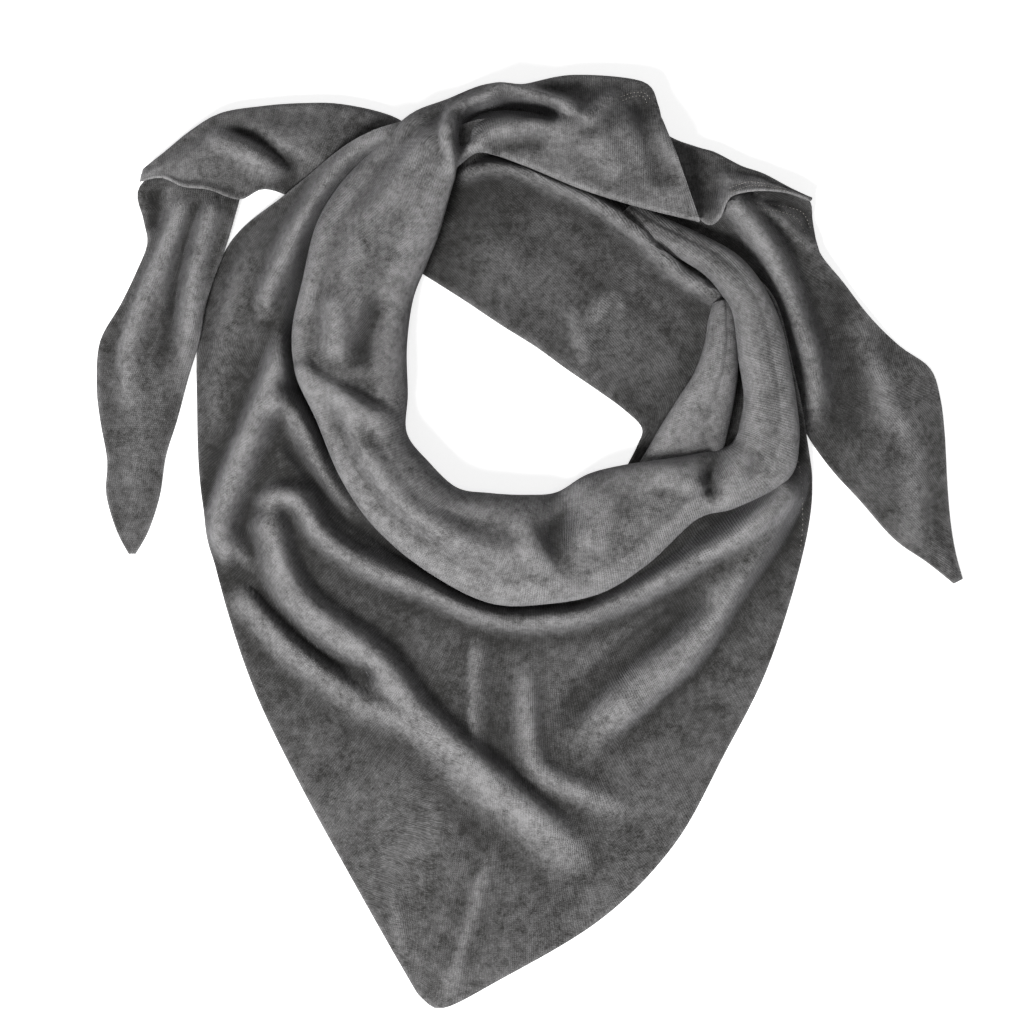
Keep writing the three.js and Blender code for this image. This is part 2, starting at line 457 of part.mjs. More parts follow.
// The middle sheet made into cloth of the full thickness, closed at all its edges.
function thicken(sheet) {
  const along = sheet.length
  const across = sheet[0].length
  const corners = []
  const indices = []
  const normalAt = (i, j) => {
    const up = sheet[Math.min(i + 1, along - 1)][j].clone().sub(sheet[Math.max(i - 1, 0)][j])
    const side = sheet[i][Math.min(j + 1, across - 1)].clone().sub(sheet[i][Math.max(j - 1, 0)])
    return up.cross(side).normalize()
  }
  for (const face of [1, -1]) {
    for (let i = 0; i < along; i++) {
      for (let j = 0; j < across; j++) {
        const corner = sheet[i][j].clone().addScaledVector(normalAt(i, j), face * HALF_CLOTH)
        corners.push(corner.x, corner.y, Math.max(corner.z, 0))
      }
    }
  }
  const layer = along * across
  const upper = (i, j) => i * across + j
  const lower = (i, j) => layer + upper(i, j)
  const gap = (a, b) => Math.hypot(...[0, 1, 2].map((k) => corners[3 * a + k] - corners[3 * b + k]))
  const quad = (a, b, c, d) => {
    indices.push(...(gap(a, c) <= gap(b, d) ? [a, b, c, a, c, d] : [a, b, d, b, c, d]))
  }
  for (let i = 0; i + 1 < along; i++) {
    for (let j = 0; j + 1 < across; j++) {
      quad(upper(i, j), upper(i + 1, j), upper(i + 1, j + 1), upper(i, j + 1))
      quad(lower(i, j), lower(i, j + 1), lower(i + 1, j + 1), lower(i + 1, j))
    }
  }
  for (let i = 0; i + 1 < along; i++) {
    quad(upper(i, 0), lower(i, 0), lower(i + 1, 0), upper(i + 1, 0))
    quad(upper(i + 1, across - 1), lower(i + 1, across - 1), lower(i, across - 1), upper(i, across - 1))
  }
  for (let j = 0; j + 1 < across; j++) {
    quad(upper(0, j + 1), lower(0, j + 1), lower(0, j), upper(0, j))
    quad(upper(along - 1, j), lower(along - 1, j), lower(along - 1, j + 1), upper(along - 1, j + 1))
  }
  return { corners, indices }
}

const wasm = await Module()
wasm.setup()

function asSolid({ corners, indices }) {
  return new wasm.Manifold(new wasm.Mesh({
    numProp: 3,
    vertProperties: new Float32Array(corners),
    triVerts: new Uint32Array(indices),
    tolerance: SMALLEST_EDGE,
  }))
}

let scarf = null
for (const band of BANDS) {
  const solid = asSolid(thicken(bandSheet(band)))
  scarf = scarf === null ? solid : scarf.add(solid)
}

const joined = scarf.getMesh()
const geometry = new THREE.BufferGeometry()
geometry.setAttribute('position', new THREE.BufferAttribute(new Float32Array(joined.vertProperties), 3))
geometry.setIndex(new THREE.BufferAttribute(new Uint32Array(joined.triVerts), 1))
geometry.computeBoundingBox()
const { min, max } = geometry.boundingBox
geometry.translate(-(min.x + max.x) / 2, -(min.y + max.y) / 2, -min.z)
geometry.computeVertexNormals()

const knit = new THREE.MeshStandardMaterial({ color: 0x6d6d6c, roughness: 0.95, metalness: 0 })
const mesh = new THREE.Mesh(geometry, knit)
mesh.name = 'scarf'

const group = new THREE.Group()
group.name = 'triangle_scarf'
group.add(mesh)
export default group
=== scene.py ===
"""A knitted triangle scarf laid in a ring on a pale floor, seen from straight above."""
import math
from collections import namedtuple

import bmesh
import bpy
import numpy as np
from mathutils import Matrix, Vector, noise


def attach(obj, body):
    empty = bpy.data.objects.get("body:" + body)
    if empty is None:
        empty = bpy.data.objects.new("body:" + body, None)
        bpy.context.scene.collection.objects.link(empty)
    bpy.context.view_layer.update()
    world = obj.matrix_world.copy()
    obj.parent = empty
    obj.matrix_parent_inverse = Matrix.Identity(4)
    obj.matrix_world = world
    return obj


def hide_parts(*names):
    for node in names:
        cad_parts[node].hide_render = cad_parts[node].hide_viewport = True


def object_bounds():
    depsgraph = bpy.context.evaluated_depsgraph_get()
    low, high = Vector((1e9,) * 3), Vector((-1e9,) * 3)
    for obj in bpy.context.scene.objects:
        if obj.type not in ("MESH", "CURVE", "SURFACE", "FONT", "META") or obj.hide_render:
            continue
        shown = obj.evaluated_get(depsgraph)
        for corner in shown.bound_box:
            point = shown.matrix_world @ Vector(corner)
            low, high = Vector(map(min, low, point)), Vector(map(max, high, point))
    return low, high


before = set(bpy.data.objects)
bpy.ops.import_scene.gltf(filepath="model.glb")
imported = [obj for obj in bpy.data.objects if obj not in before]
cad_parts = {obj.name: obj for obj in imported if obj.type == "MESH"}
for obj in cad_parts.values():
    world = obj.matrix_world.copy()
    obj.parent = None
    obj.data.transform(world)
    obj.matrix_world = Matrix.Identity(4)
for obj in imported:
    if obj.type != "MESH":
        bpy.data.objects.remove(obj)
CAD_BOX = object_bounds()

bl_info = {
    "name": "Triangle scarf",
    "version": (1, 0, 0),
    "blender": (4, 5, 0),
    "location": "View3D > Sidebar > Scarf",
    "description": "Makes a knitted triangle scarf laid in a ring, with its hem stitches and a plain stage",
    "category": "Mesh",
}

# The laid scarf, from the frame. Lengths are in metres.
CORNER = Vector(CAD_BOX[0])
LAID = Vector(CAD_BOX[1]) - CORNER
MM = 0.001

# Every place below is a pair: percent of the laid width from the left tail's edge, then
# percent of the laid length up from the front point. Every height is a percent of the heap.
# A band is a strip of the cloth that runs through its rows. Each row is one section, from
# the edge nearer the neck hole to the edge away from it.
#   near, far   the places of the two edges
#   lift        the heights of the cloth at the near edge, in the middle and at the far edge
#   under       the heights of the cloth that is turned under at the near and the far edge
#   grain       the angle from the section to the knit ribs, in degrees
Row = namedtuple("Row", "at near far lift under grain", defaults=[(0, 0), 0])

# A fold follows its path. Its height is a percent of the heap, below 0 for a hollow, and it
# fades out over left and right, in percent of the laid width, seen along the path. Where one of
# these is a pair, it goes from the first width to the second. A fold that leans has its crest
# carried to the right by that share of its height, or to the left below 0. A crest above 1 is
# sharper than a round one. fade is the share of the path over which the fold rises and dies away.
Fold = namedtuple("Fold", "name height left right path lean crest fade",
                  defaults=[0.0, 1.0, (0.22, 0.22)])

# near_turn and far_turn are the shares of the width turned under at each edge, and droop is
# how far the end of what is turned under hangs lower. The facets crowd towards the near edge
# where crowd is above 1, and are coarse times as long as the facet length. A band with a flange
# has its near edge standing up inside the roll.
Band = namedtuple("Band", "name near_turn far_turn droop crowd flange coarse rows folds")

NECK_BAND = Band(
    "neck", near_turn=0.4, far_turn=0.5, droop=0, crowd=1, flange=False, coarse=1.15,
    rows=[
        Row("flap hem", (69.3, 84.3), (64.4, 96.7), (62, 74, 52), (54, 40)),
        Row("flap corner", (63, 85.7), (62.8, 99.2), (64, 78, 44), (54, 30)),
        Row("flap middle", (56, 87.7), (55, 100), (66, 80, 40), (54, 18)),
        Row("flap fold", (49.5, 90.2), (49, 99), (66, 76, 42), (54, 14)),
        Row("flap hollow", (44.6, 91.6), (45, 99), (68, 72, 46), (54, 14), 10),
        Row("crossing", (41.9, 90.2), (40.6, 97.4), (74, 80, 46), (50, 18), 30),
        Row("crossing side", (41.3, 88.6), (36.4, 95.6), (84, 88, 62), (46, 30), 50),
        Row("collar top", (40.5, 86.2), (32.4, 92), (86, 92, 66), (36, 32), 60),
        Row("collar", (39.5, 83), (28.6, 88.4), (84, 92, 68), (22, 22), 60),
        Row("collar foot", (38, 79.6), (25.8, 84), (80, 88, 66), (14, 26), 58),
        Row("hole top left", (36.5, 76), (24.2, 78), (76, 84, 64), (9, 26), 56),
        Row("left side", (35.8, 71), (23, 72.6), (74, 82, 62), (8, 26), 52),
        Row("left side low", (35.9, 66), (23.5, 68), (74, 82, 64), (8, 26), 44),
        Row("hole bottom left", (35.8, 61.8), (25.8, 63.2), (76, 86, 66), (9, 26), 34),
        Row("lower left", (38.3, 58.7), (28.6, 57), (80, 90, 68), (11, 26), 22),
        Row("lower left turn", (41.6, 55.9), (32.5, 51.8), (82, 92, 70), (13, 26), 12),
        Row("bottom left", (45.4, 55.3), (38.4, 47.2), (82, 92, 72), (15, 26), 4),
        Row("bottom", (49.5, 55.1), (45.4, 43.9), (80, 92, 74), (16, 26)),
        Row("bottom dip", (53.1, 55.4), (52, 43.8), (76, 88, 74), (16, 26)),
        Row("bottom right", (56.6, 57.3), (58.2, 45), (78, 88, 72), (16, 26)),
        Row("right low", (60.8, 58.3), (63.6, 48.2), (78, 84, 70), (16, 26)),
        Row("right", (66.6, 59.1), (69, 52.8), (76, 80, 70), (12, 26)),
        Row("pocket", (71, 59.9), (73.4, 54), (76, 79, 72), (12, 26)),
        Row("right corner", (73.3, 60.8), (79.3, 57), (78, 80, 76), (12, 26)),
        Row("right turn", (74.2, 63.3), (80.5, 61), (80, 82, 79), (12, 24)),
        Row("right strand", (74.5, 65.9), (80.1, 65.6), (80, 82, 79), (12, 24), -15),
        Row("right strand mid", (73.9, 69.7), (79.4, 69.4), (78, 80, 77), (12, 24), -30),
        Row("right strand high", (73.5, 72.3), (78.7, 72.5), (76, 78, 75), (12, 24), -45),
        Row("right strand top", (73, 74.9), (77.6, 75.4), (73, 75, 72), (12, 24), -60),
        Row("strand bend", (71.4, 77.4), (75.6, 78.7), (67, 69, 66), (12, 22), -75),
        Row("back strand", (69.4, 79.3), (73.2, 81), (59, 61, 58), (12, 22), -85),
        Row("back strand far", (66.4, 81), (69.6, 82.9), (50, 52, 49), (10, 20), -90),
        Row("back strand low", (63.3, 82.8), (65.8, 84.6), (41, 43, 40), (8, 18), -90),
        Row("back strand end", (60, 85), (62, 86.6), (30, 32, 29), (6, 14), -90),
    ],
    folds=[
        Fold("lip", 25, 1.3, 1.2, [(41.5, 88.5), (41.1, 90.6), (40.7, 92.9), (41, 95.4),
             (42.6, 96.7), (45, 97.5), (46.7, 98.6), (48.6, 98.2), (51.6, 97.3), (54.1, 96.4),
             (56.1, 94.8)], crest=1.2, fade=(0.12, 0.12)),
        Fold("lip arm", 20, 1, 1.5, [(55.9, 94.7), (57.6, 96), (59, 97.4),
             (60.5, 98.4)], fade=(0.06, 0.4)),
        Fold("hollow", -42, 1.2, 2.2, [(42.4, 91.2), (42.2, 93.4), (43.1, 95.2), (45.2, 96.2),
             (47.9, 96.6), (51.1, 96), (53.7, 95.2)], fade=(0.15, 0.12)),
        Fold("inner lip", 14, 1.2, 2.2, [(42.7, 91.5), (44.1, 92.5), (45.9, 93.3), (48.2, 93.9),
             (51.1, 94.4), (55.1, 94.2)], fade=(0.1, 0.2)),
        Fold("lip shade", -10, 1.6, 1.6, [(44.7, 91.9), (47.1, 92.4), (50, 92.7), (52.5, 92.6)]),
        Fold("flap wave", -12, 2.4, 2.2, [(62.1, 97.4), (63.4, 92.6), (65.8, 87.2)]),
        Fold("flap bulge", 9, 2.4, 2.4, [(56.6, 93.2), (58.5, 91), (60.5, 88.7)]),
        Fold("collar line", 6, 1, 1.8, [(26.4, 80.9), (25.2, 76.9), (24, 73.4)]),
        Fold("side ridge", 20, 1.6, 3.6, [(23.6, 69.4), (25.1, 67.7), (27.8, 66.1), (30.7, 64.5),
             (33.4, 63.1), (35.4, 61.5)], fade=(0.12, 0.25)),
        Fold("side hollow", -16, 2.4, 2.6, [(33.8, 76.9), (32.6, 74.1), (31.5, 71.4),
             (31, 68.2)], fade=(0.3, 0.3)),
        Fold("side bulge", 10, 2, 2, [(27.8, 76.5), (28, 72.9), (27.5, 69.4)]),
        Fold("low bulge", 8, 3, 3, [(31.2, 61.5), (34.4, 57.5), (37.9, 53.7), (42, 50.1),
             (47.3, 47)]),
        Fold("bottom dimple", -19, 3.2, 3.4, [(53.4, 56), (53.4, 53.1), (53.1, 49.9),
             (52.6, 46.8)], fade=(0.1, 0.35)),
        Fold("dimple ridge", 10, 1.8, 2.6, [(48.7, 53.4), (50.3, 50.2), (52.5, 46.6)]),
        Fold("dimple side", 10, 2.6, 2.6, [(58.7, 55.8), (57.9, 52.6), (56.4, 49.4)]),
        Fold("pocket dimple", -27, 1.9, 1.7, [(73.8, 61.5), (72.3, 60.4), (71.1, 59), (70.4, 57.5),
             (70.5, 56), (71.4, 54.4)], fade=(0.03, 0.22)),

        Fold("pocket ridge", 14, 1.7, 1.9, [(75.2, 62), (74.1, 60), (73.7, 57.9),
             (73, 55.6)], fade=(0.25, 0.25)),

        Fold("roll ridge", 9, 2.4, 2, [(62.6, 57.9), (65.3, 57.5), (68, 56.4),
             (69.5, 54.9)], fade=(0.3, 0.3)),

    ],
)

FRONT_BAND = Band(
    "front", near_turn=0, far_turn=0, droop=0, crowd=1.2, flange=True, coarse=1.4,
    rows=[
        Row("crossing", (39, 92.4), (36, 95.2), (60, 60, 50), grain=90),
        Row("outer strand", (34, 86.8), (29.4, 92.4), (56, 58, 50), grain=92),
        Row("gap corner", (30.6, 81.4), (22, 87.4), (48, 46, 30), grain=87),
        Row("gap foot", (28.8, 76.8), (15.4, 82.3), (46, 34, 8), grain=79),
        Row("left shoulder", (28, 72.4), (11.9, 73.6), (46, 26, 0), grain=65),
        Row("left edge", (28.6, 67), (11.6, 64.4), (46, 20, 0), grain=48),
        Row("left edge mid", (30, 62), (12.1, 55.2), (46, 18, 0), grain=28),
        Row("pouch", (32.4, 57.4), (14.3, 45.4), (46, 16, 0), grain=16),
        Row("pouch foot", (35.6, 53.4), (18.1, 34.5), (46, 14, 0), grain=2),
        Row("lower left", (39, 50.4), (23.3, 24.4), (46, 11, 0), grain=-10),
        Row("long left", (42.4, 48.6), (29.4, 14), (46, 9, 0), grain=-12),
        Row("point left", (45, 47.8), (35.6, 3.8), (46, 9, 0), grain=-4),
        Row("point corner", (46.4, 47.5), (37.6, 1), (46, 9, 0)),
        Row("point", (47.6, 47.4), (40.1, 0), (46, 9, 0)),
        Row("point right", (49.4, 47.4), (45.9, 2.7), (46, 9, 0)),
        Row("long right", (53.6, 47.6), (58, 9.4), (46, 9, 0), grain=4),
        Row("lower right", (57.8, 49), (66.6, 17.5), (46, 8, 0), grain=10),
        Row("right edge low", (61.8, 51.2), (72.5, 27.4), (46, 8, 0), grain=8),
        Row("right edge", (65.8, 53.8), (77.3, 36.3), (46, 10, 0)),
        Row("right edge mid", (69.6, 56.6), (81, 47), (46, 12, 0), grain=-12),
        Row("right edge high", (73, 59.6), (82.6, 55.3), (46, 14, 0), grain=-20),
        Row("right hem", (75.4, 63), (81.7, 62), (44, 24, 22), grain=-25),
        Row("right hem mid", (75.6, 68.6), (80.2, 68.2), (40, 32, 42), grain=-25),
        Row("right hem high", (73.4, 75.6), (77.8, 76.3), (38, 34, 46), grain=-25),
        Row("right hem end", (69.6, 80.2), (72.8, 80.6), (30, 34, 40), grain=-25),
    ],
    folds=[
        Fold("collar gap", -26, 1.8, 1.8, [(35.1, 94.4), (31.7, 91.5), (28.6, 88.1), (26.5, 85.5),
             (25.1, 82.6), (24.4, 79.5), (23.5, 76), (22.9, 72.9), (23.1, 69.7), (23.9, 67),
             (25.4, 63.5), (27.1, 59.2), (29.1, 55.9), (31.6, 52.5), (34.1, 50.1), (36.6, 48.4),
             (40.5, 45.8), (44.3, 44), (48.2, 43.4), (51.3, 43.6), (57.1, 44.3), (61, 46.5),
             (66.1, 49.4), (69.3, 53), (74, 54.2), (78.6, 56.8)], fade=(0.1, 0.1)),
        Fold("middle strand", 20, 1.7, 2.2, [(35.4, 94.9), (31.9, 92.8), (28.8, 90.4), (26.5, 87.9),
             (24.6, 85.1), (22.8, 82.2), (21.3, 79.1), (20.1, 76.1),
             (20.3, 73.4)], fade=(0.1, 0.15)),
        Fold("outer strand", 8, 3, 2.4, [(20, 84.1), (17.6, 80.1), (15.8, 76.1), (14.6, 71.3),
             (13.8, 65.4), (13.6, 60)]),
        Fold("pouch edge", 36, 3, 2.2, [(22.8, 73.7), (21.4, 69.9), (20, 66.3), (18.4, 62.8),
             (16.8, 59.3), (15.4, 55.9), (14.5, 53), (14.6, 50.7), (16, 48.4),
             (18.4, 45.7)], fade=(0.15, 0.2)),
        Fold("arch", 26, 1.9, 2.6, [(20.3, 66.2), (22.1, 64.9), (24.1, 62.6), (26, 60), (27.7, 57.5),
             (30, 54.7), (32.7, 52.4), (35.6, 50.1), (38.6, 48.1), (42, 46.2)], fade=(0.08, 0.15)),
        Fold("dark band", -12, 1.4, 1.4, [(21.7, 61.3), (23.5, 58.8), (25.4, 56.6), (28.8, 53),
             (33.4, 50.1), (39.2, 47.1), (43.1, 45.3)], fade=(0.1, 0.2)),
        Fold("inner ridge", 28, 2, 2.4, [(19, 53), (20.1, 54.6), (21.6, 55.2), (23.6, 54.6),
             (25.5, 51.9), (27.8, 49.7), (31.2, 47.9), (35.1, 46.2), (39.2, 44.7), (42.1, 43.5),
             (45.8, 42.3), (50, 41.9), (55.1, 42.3), (59.4, 43.7), (63.2, 45.3), (68.3, 48.3),
             (74, 51.5), (78, 54.7), (80.2, 57.5)], fade=(0.06, 0.08)),
        Fold("side strand", 16, 2.2, 3, [(63.7, 44.9), (68.5, 47.6), (73.8, 50.9), (77.7, 54.1),
             (80, 56.6)], fade=(0.3, 0.1)),
        Fold("long ridge", 34, (2.4, 2.2), (3.2, 6.5), [(19.9, 53.8), (20.6, 51.3), (21.3, 48.7),
             (22.4, 46.3), (24, 44), (26.2, 42.2), (28.6, 40.6), (31, 39.1), (33.1, 37.4),
             (34.7, 35.5), (36.2, 33.5), (38.6, 31), (41.9, 28.3), (45.7, 25.2), (49.8, 22),
             (53.4, 18.8), (55.8, 16.2), (57, 14.1)], fade=(0.04, 0.2)),
        Fold("pouch valley", -18, 1.2, 1.2, [(15.2, 49.1), (16.9, 46.9), (19.6, 44), (22.8, 41),
             (25.5, 38.6), (28.3, 37.2), (31, 36.4), (32.8, 35.1)], fade=(0.1, 0.12)),
        Fold("second strand", 20, 1.3, (2.8, 4.4), [(16.4, 45.8), (18, 43.7), (20.8, 40.6),
             (23.9, 38), (27.3, 35.6), (30.8, 33.4), (35.4, 30.9), (39.5, 28.5)], fade=(0.15, 0.3)),
        Fold("front ridge", 16, 1.9, 2.6, [(49.5, 38.7), (49.5, 35.7), (49.7, 32.3), (50, 28.5),
             (51, 26.1), (53.1, 24.5), (56.5, 23.2), (60, 21.8), (62.8, 20.3)], fade=(0.3, 0.3)),
        Fold("side fold", 30, 2.4, 5, [(80.8, 59.5), (80, 55.8), (78, 52.1), (75.5, 48.5),
             (73.1, 45.3), (71.1, 42.1), (68.5, 38.5), (65.2, 35.7), (61.8, 32.9), (58.4, 30.1),
             (55.4, 26.9)], fade=(0.1, 0.2)),
        Fold("side hollow", -18, 2.6, 2.6, [(71.3, 44.9), (67.6, 42.3), (63, 39.3), (58.5, 35.7),
             (55.3, 32.5), (53.7, 29.1)], fade=(0.2, 0.3)),
        Fold("small fold", 3.5, 1.2, 1.4, [(34.4, 12.4), (34.9, 9), (35.6, 6)]),
        Fold("centre crease", 8, 2.2, 0.9, [(43.9, 40.8), (43.6, 37.6), (43.5, 33.9), (43.6, 30.3),
             (43.9, 27.4)]),
        Fold("centre crease low", 5, 1.6, 0.8, [(46.5, 19.7), (45.5, 17), (44.5, 14.5), (43.6, 11.6),
             (42.6, 8.3), (41.5, 5.3), (40.7, 2.5), (40.4, 0.9)]),
    ],
)

BACK_BAND = Band(
    "back", near_turn=0, far_turn=0.25, droop=4, crowd=1, flange=False, coarse=1.5,
    rows=[
        Row("ribbon tip", (5.3, 88.7), (5.7, 90), (30, 32, 30), (22, 22)),
        Row("ribbon hem", (8, 89), (8.2, 91.8), (36, 40, 34), (22, 22)),
        Row("ribbon hem mid", (10.6, 88), (11.2, 94.1), (40, 46, 34), (20, 20)),
        Row("ribbon fold", (13.4, 87.7), (14.6, 96), (42, 46, 32), (16, 16)),
        Row("ribbon", (16.8, 86.7), (19.6, 96.8), (40, 46, 30), (12, 12)),
        Row("gap top", (19.6, 87.9), (24, 97.1), (32, 44, 30), (10, 10)),
        Row("ribbon root", (23.4, 86.8), (28.4, 97), (16, 40, 30), (8, 8)),
        Row("under strand", (29, 84), (34, 95.8), (8, 26, 28), (6, 6)),
        Row("under collar", (34, 81.2), (38.6, 93.4), (1, 10, 26), (6, 14)),
        Row("neck edge left", (38.4, 78.6), (42.6, 93.4), (1, 8, 30), (6, 16), 100),
        Row("neck edge", (42.6, 76.1), (48, 93.2), (1, 7, 30), (6, 16), 102),
        Row("neck edge mid", (46.6, 73.6), (53.2, 91), (1, 7, 30), (6, 16), 104),
        Row("back middle", (50.7, 71.2), (58.4, 88.4), (1, 7, 28), (6, 14), 104),
        Row("back", (54.1, 68.9), (63.4, 85.2), (1, 8, 26), (6, 12), 104),
        Row("back right", (57.7, 66.6), (68.4, 81.9), (1, 8, 26), (6, 12), 104),
        Row("hole right", (60.8, 64.5), (74, 77), (1, 9, 22), (6, 12), 104),
        Row("hole corner", (62.9, 62.5), (76.5, 71.4), (4, 8, 8), (6, 6), 104),
        Row("under side", (62.4, 60.6), (77, 64), (6, 6, 6), (4, 4), 104),
        Row("under roll", (60.9, 57.9), (76, 58), (10, 10, 10), (6, 6), 104),
    ],
    folds=[
        Fold("ribbon crease", -18, 1.2, 1.6, [(15, 94.3), (18, 93.6), (20.8, 91.9),
             (23.7, 89.9)], fade=(0.3, 0.15)),
        Fold("ribbon ridge", 14, 1.8, 2.4, [(12.7, 93.5), (16.4, 92.5), (19.3, 90.9), (21.6, 88.9)]),
        Fold("ribbon edge", 8, 1.2, 1.2, [(5.9, 89.3), (8, 88.8), (10, 87.9), (13, 87.6), (15, 86.9),
             (17.2, 86.4)]),
        Fold("back strand", 28, (1, 1.3), (1.3, 2.3), [(41.6, 89.1), (44.5, 90), (47.1, 90.1), (49.4, 89.5),
             (52.5, 88.4), (55.9, 87), (58.7, 85.6), (61.2, 83.9), (63.8, 82.1), (65.9, 80.1),
             (68, 78.4), (70.1, 77.2), (72.2, 76.1)], crest=1.3, fade=(0.05, 0.05)),
        Fold("back groove", -16, 1, 1, [(43.1, 91.5), (47.1, 91.7), (52.5, 90.1), (56.9, 88.4),
             (59.7, 86.6), (62.6, 84.4), (64.9, 82.5), (67.2, 80.3), (69.7, 78.5)], fade=(0.1, 0.1)),
        Fold("back mark", 6, 0.9, 0.9, [(57.3, 73.5), (58.7, 76.2), (59.4, 76.9), (60.2, 76.1),
             (61.1, 73.9)]),
        Fold("back patch", 6, 1.3, 1.3, [(54.6, 75.7), (55.6, 72.4), (56.6, 69.3)]),
        Fold("back fold", 5, 1.6, 2.6, [(55, 70.4), (56.6, 74), (59, 77)]),
    ],
)

SIDE_STRAND = Band(
    "side_strand", near_turn=0.3, far_turn=0.3, droop=4, crowd=1, flange=False, coarse=1.3,
    rows=[
        Row("notch", (71.1, 75.7), (72.8, 76.2), (48, 50, 47), (20, 20), -25),
        Row("top", (70.5, 73.7), (73.4, 74.1), (56, 58, 55), (16, 16), -25),
        Row("upper", (70.1, 71.3), (73.6, 71.3), (60, 62, 59), (14, 14), -25),
        Row("middle", (68.9, 68.2), (73.6, 68.4), (62, 64, 61), (14, 14), -25),
        Row("lower", (67, 65.4), (73.2, 65.4), (60, 62, 59), (12, 12), -25),
        Row("foot", (64.9, 62.2), (72.6, 62.4), (54, 56, 53), (10, 10), -25),
        Row("low foot", (63.2, 59.4), (71.8, 59.8), (42, 44, 41), (10, 10), -25),
        Row("under roll", (61.4, 56.8), (69.3, 56.3), (30, 32, 30), (8, 8), -25),
    ],
    folds=[],
)

RIGHT_TAIL = Band(
    "right_tail", near_turn=0, far_turn=0, droop=0, crowd=1, flange=False, coarse=1.5,
    rows=[
        Row("root", (63, 88), (78.6, 88.2), (24, 26, 26), grain=90),
        Row("under flap", (63.4, 85.5), (81.9, 86.9), (20, 28, 24), grain=90),
        Row("top", (66.5, 81.5), (82.6, 84.6), (16, 24, 16), grain=90),
        Row("shoulder", (70.5, 78.5), (83.3, 81.3), (16, 24, 18), grain=90),
        Row("upper", (75, 76.5), (86.2, 78), (16, 20, 12), grain=90),
        Row("upper middle", (77.8, 73.4), (89.2, 74.4), (16, 16, 8), grain=90),
        Row("middle", (79.1, 69.6), (92.7, 71.3), (14, 12, 2), grain=90),
        Row("corner", (80, 65.8), (96.2, 68.9), (10, 10, 2), grain=90),
        Row("below corner", (81.6, 62.2), (97.4, 65.6), (8, 8, 1), grain=90),
        Row("lower", (84.6, 58.2), (97.9, 61.8), (6, 6, 0), grain=90),
        Row("lower middle", (88, 54.7), (98.2, 56.5), (5, 6, 0), grain=90),
        Row("near tip", (92, 50.5), (98.6, 52.2), (5, 6, 0), grain=90),
        Row("tip side", (95.8, 48), (99.2, 48.9), (5, 6, 0), grain=90),
        Row("tip", (98.9, 45.7), (100, 46.2), (4, 4, 2), grain=90),
    ],
    folds=[
        Fold("tail ridge", 34, 3, 1.6, [(72.3, 86.6), (73.6, 85.5), (75.3, 83.5), (77.5, 80.6),
             (79.2, 76.9), (80.8, 72.9), (81.9, 69.6), (82.4, 66), (82.2, 63.1),
             (82.6, 60.5)], fade=(0.06, 0.25)),

        Fold("corner edge", 8, 0.9, 0.9, [(75.2, 86.6), (78.1, 85.1), (80.9, 82.7), (83, 81.4)]),
        Fold("corner hollow", -12, 1.4, 1.4, [(76.5, 86.9), (79.5, 86.6), (81.6, 85.3),
             (82.4, 82.9)]),
        Fold("tail wave", 6, 3, 3, [(93.6, 66), (94.6, 60), (94.6, 54), (94, 49)]),
        Fold("tail hollow", -6, 3, 3, [(84.6, 79), (86.6, 73), (87.6, 67), (88, 60)]),
        Fold("tail crease", 6, 1.6, 2.6, [(86.6, 75.5), (89.1, 70.7), (91.5, 65.4), (94.1, 59.5)]),
    ],
)

RIGHT_RIBBON = Band(
    "right_ribbon", near_turn=0, far_turn=0.4, droop=0, crowd=1, flange=False, coarse=1.3,
    rows=[
        Row("under flap", (64.4, 88.4), (63.4, 94.8), (40, 40, 30), (18, 18)),
        Row("hem side", (67.6, 86.6), (66.6, 93.2), (44, 40, 30), (18, 18)),
        Row("hem left", (69.6, 84.3), (68.4, 92.6), (48, 36, 28), (18, 18)),
        Row("hem bottom", (70.7, 83.9), (69.8, 92.2), (52, 34, 28), (16, 16)),
        Row("hem right", (71.7, 84.7), (71, 91.9), (56, 36, 28), (16, 16)),
        Row("hem rise", (72.3, 86.1), (72.3, 91.3), (58, 42, 28), (16, 16)),
        Row("hem turn", (73.2, 87), (74.3, 90.3), (58, 46, 30), (18, 18)),
        Row("hem end", (75.9, 87.5), (76.8, 89.5), (52, 46, 30), (18, 18)),
        Row("hem far", (79.3, 87.4), (79.8, 88), (42, 40, 30), (18, 18)),
        Row("corner", (82, 86.7), (82.4, 86.9), (32, 30, 26), (16, 16)),
    ],
    folds=[],
)

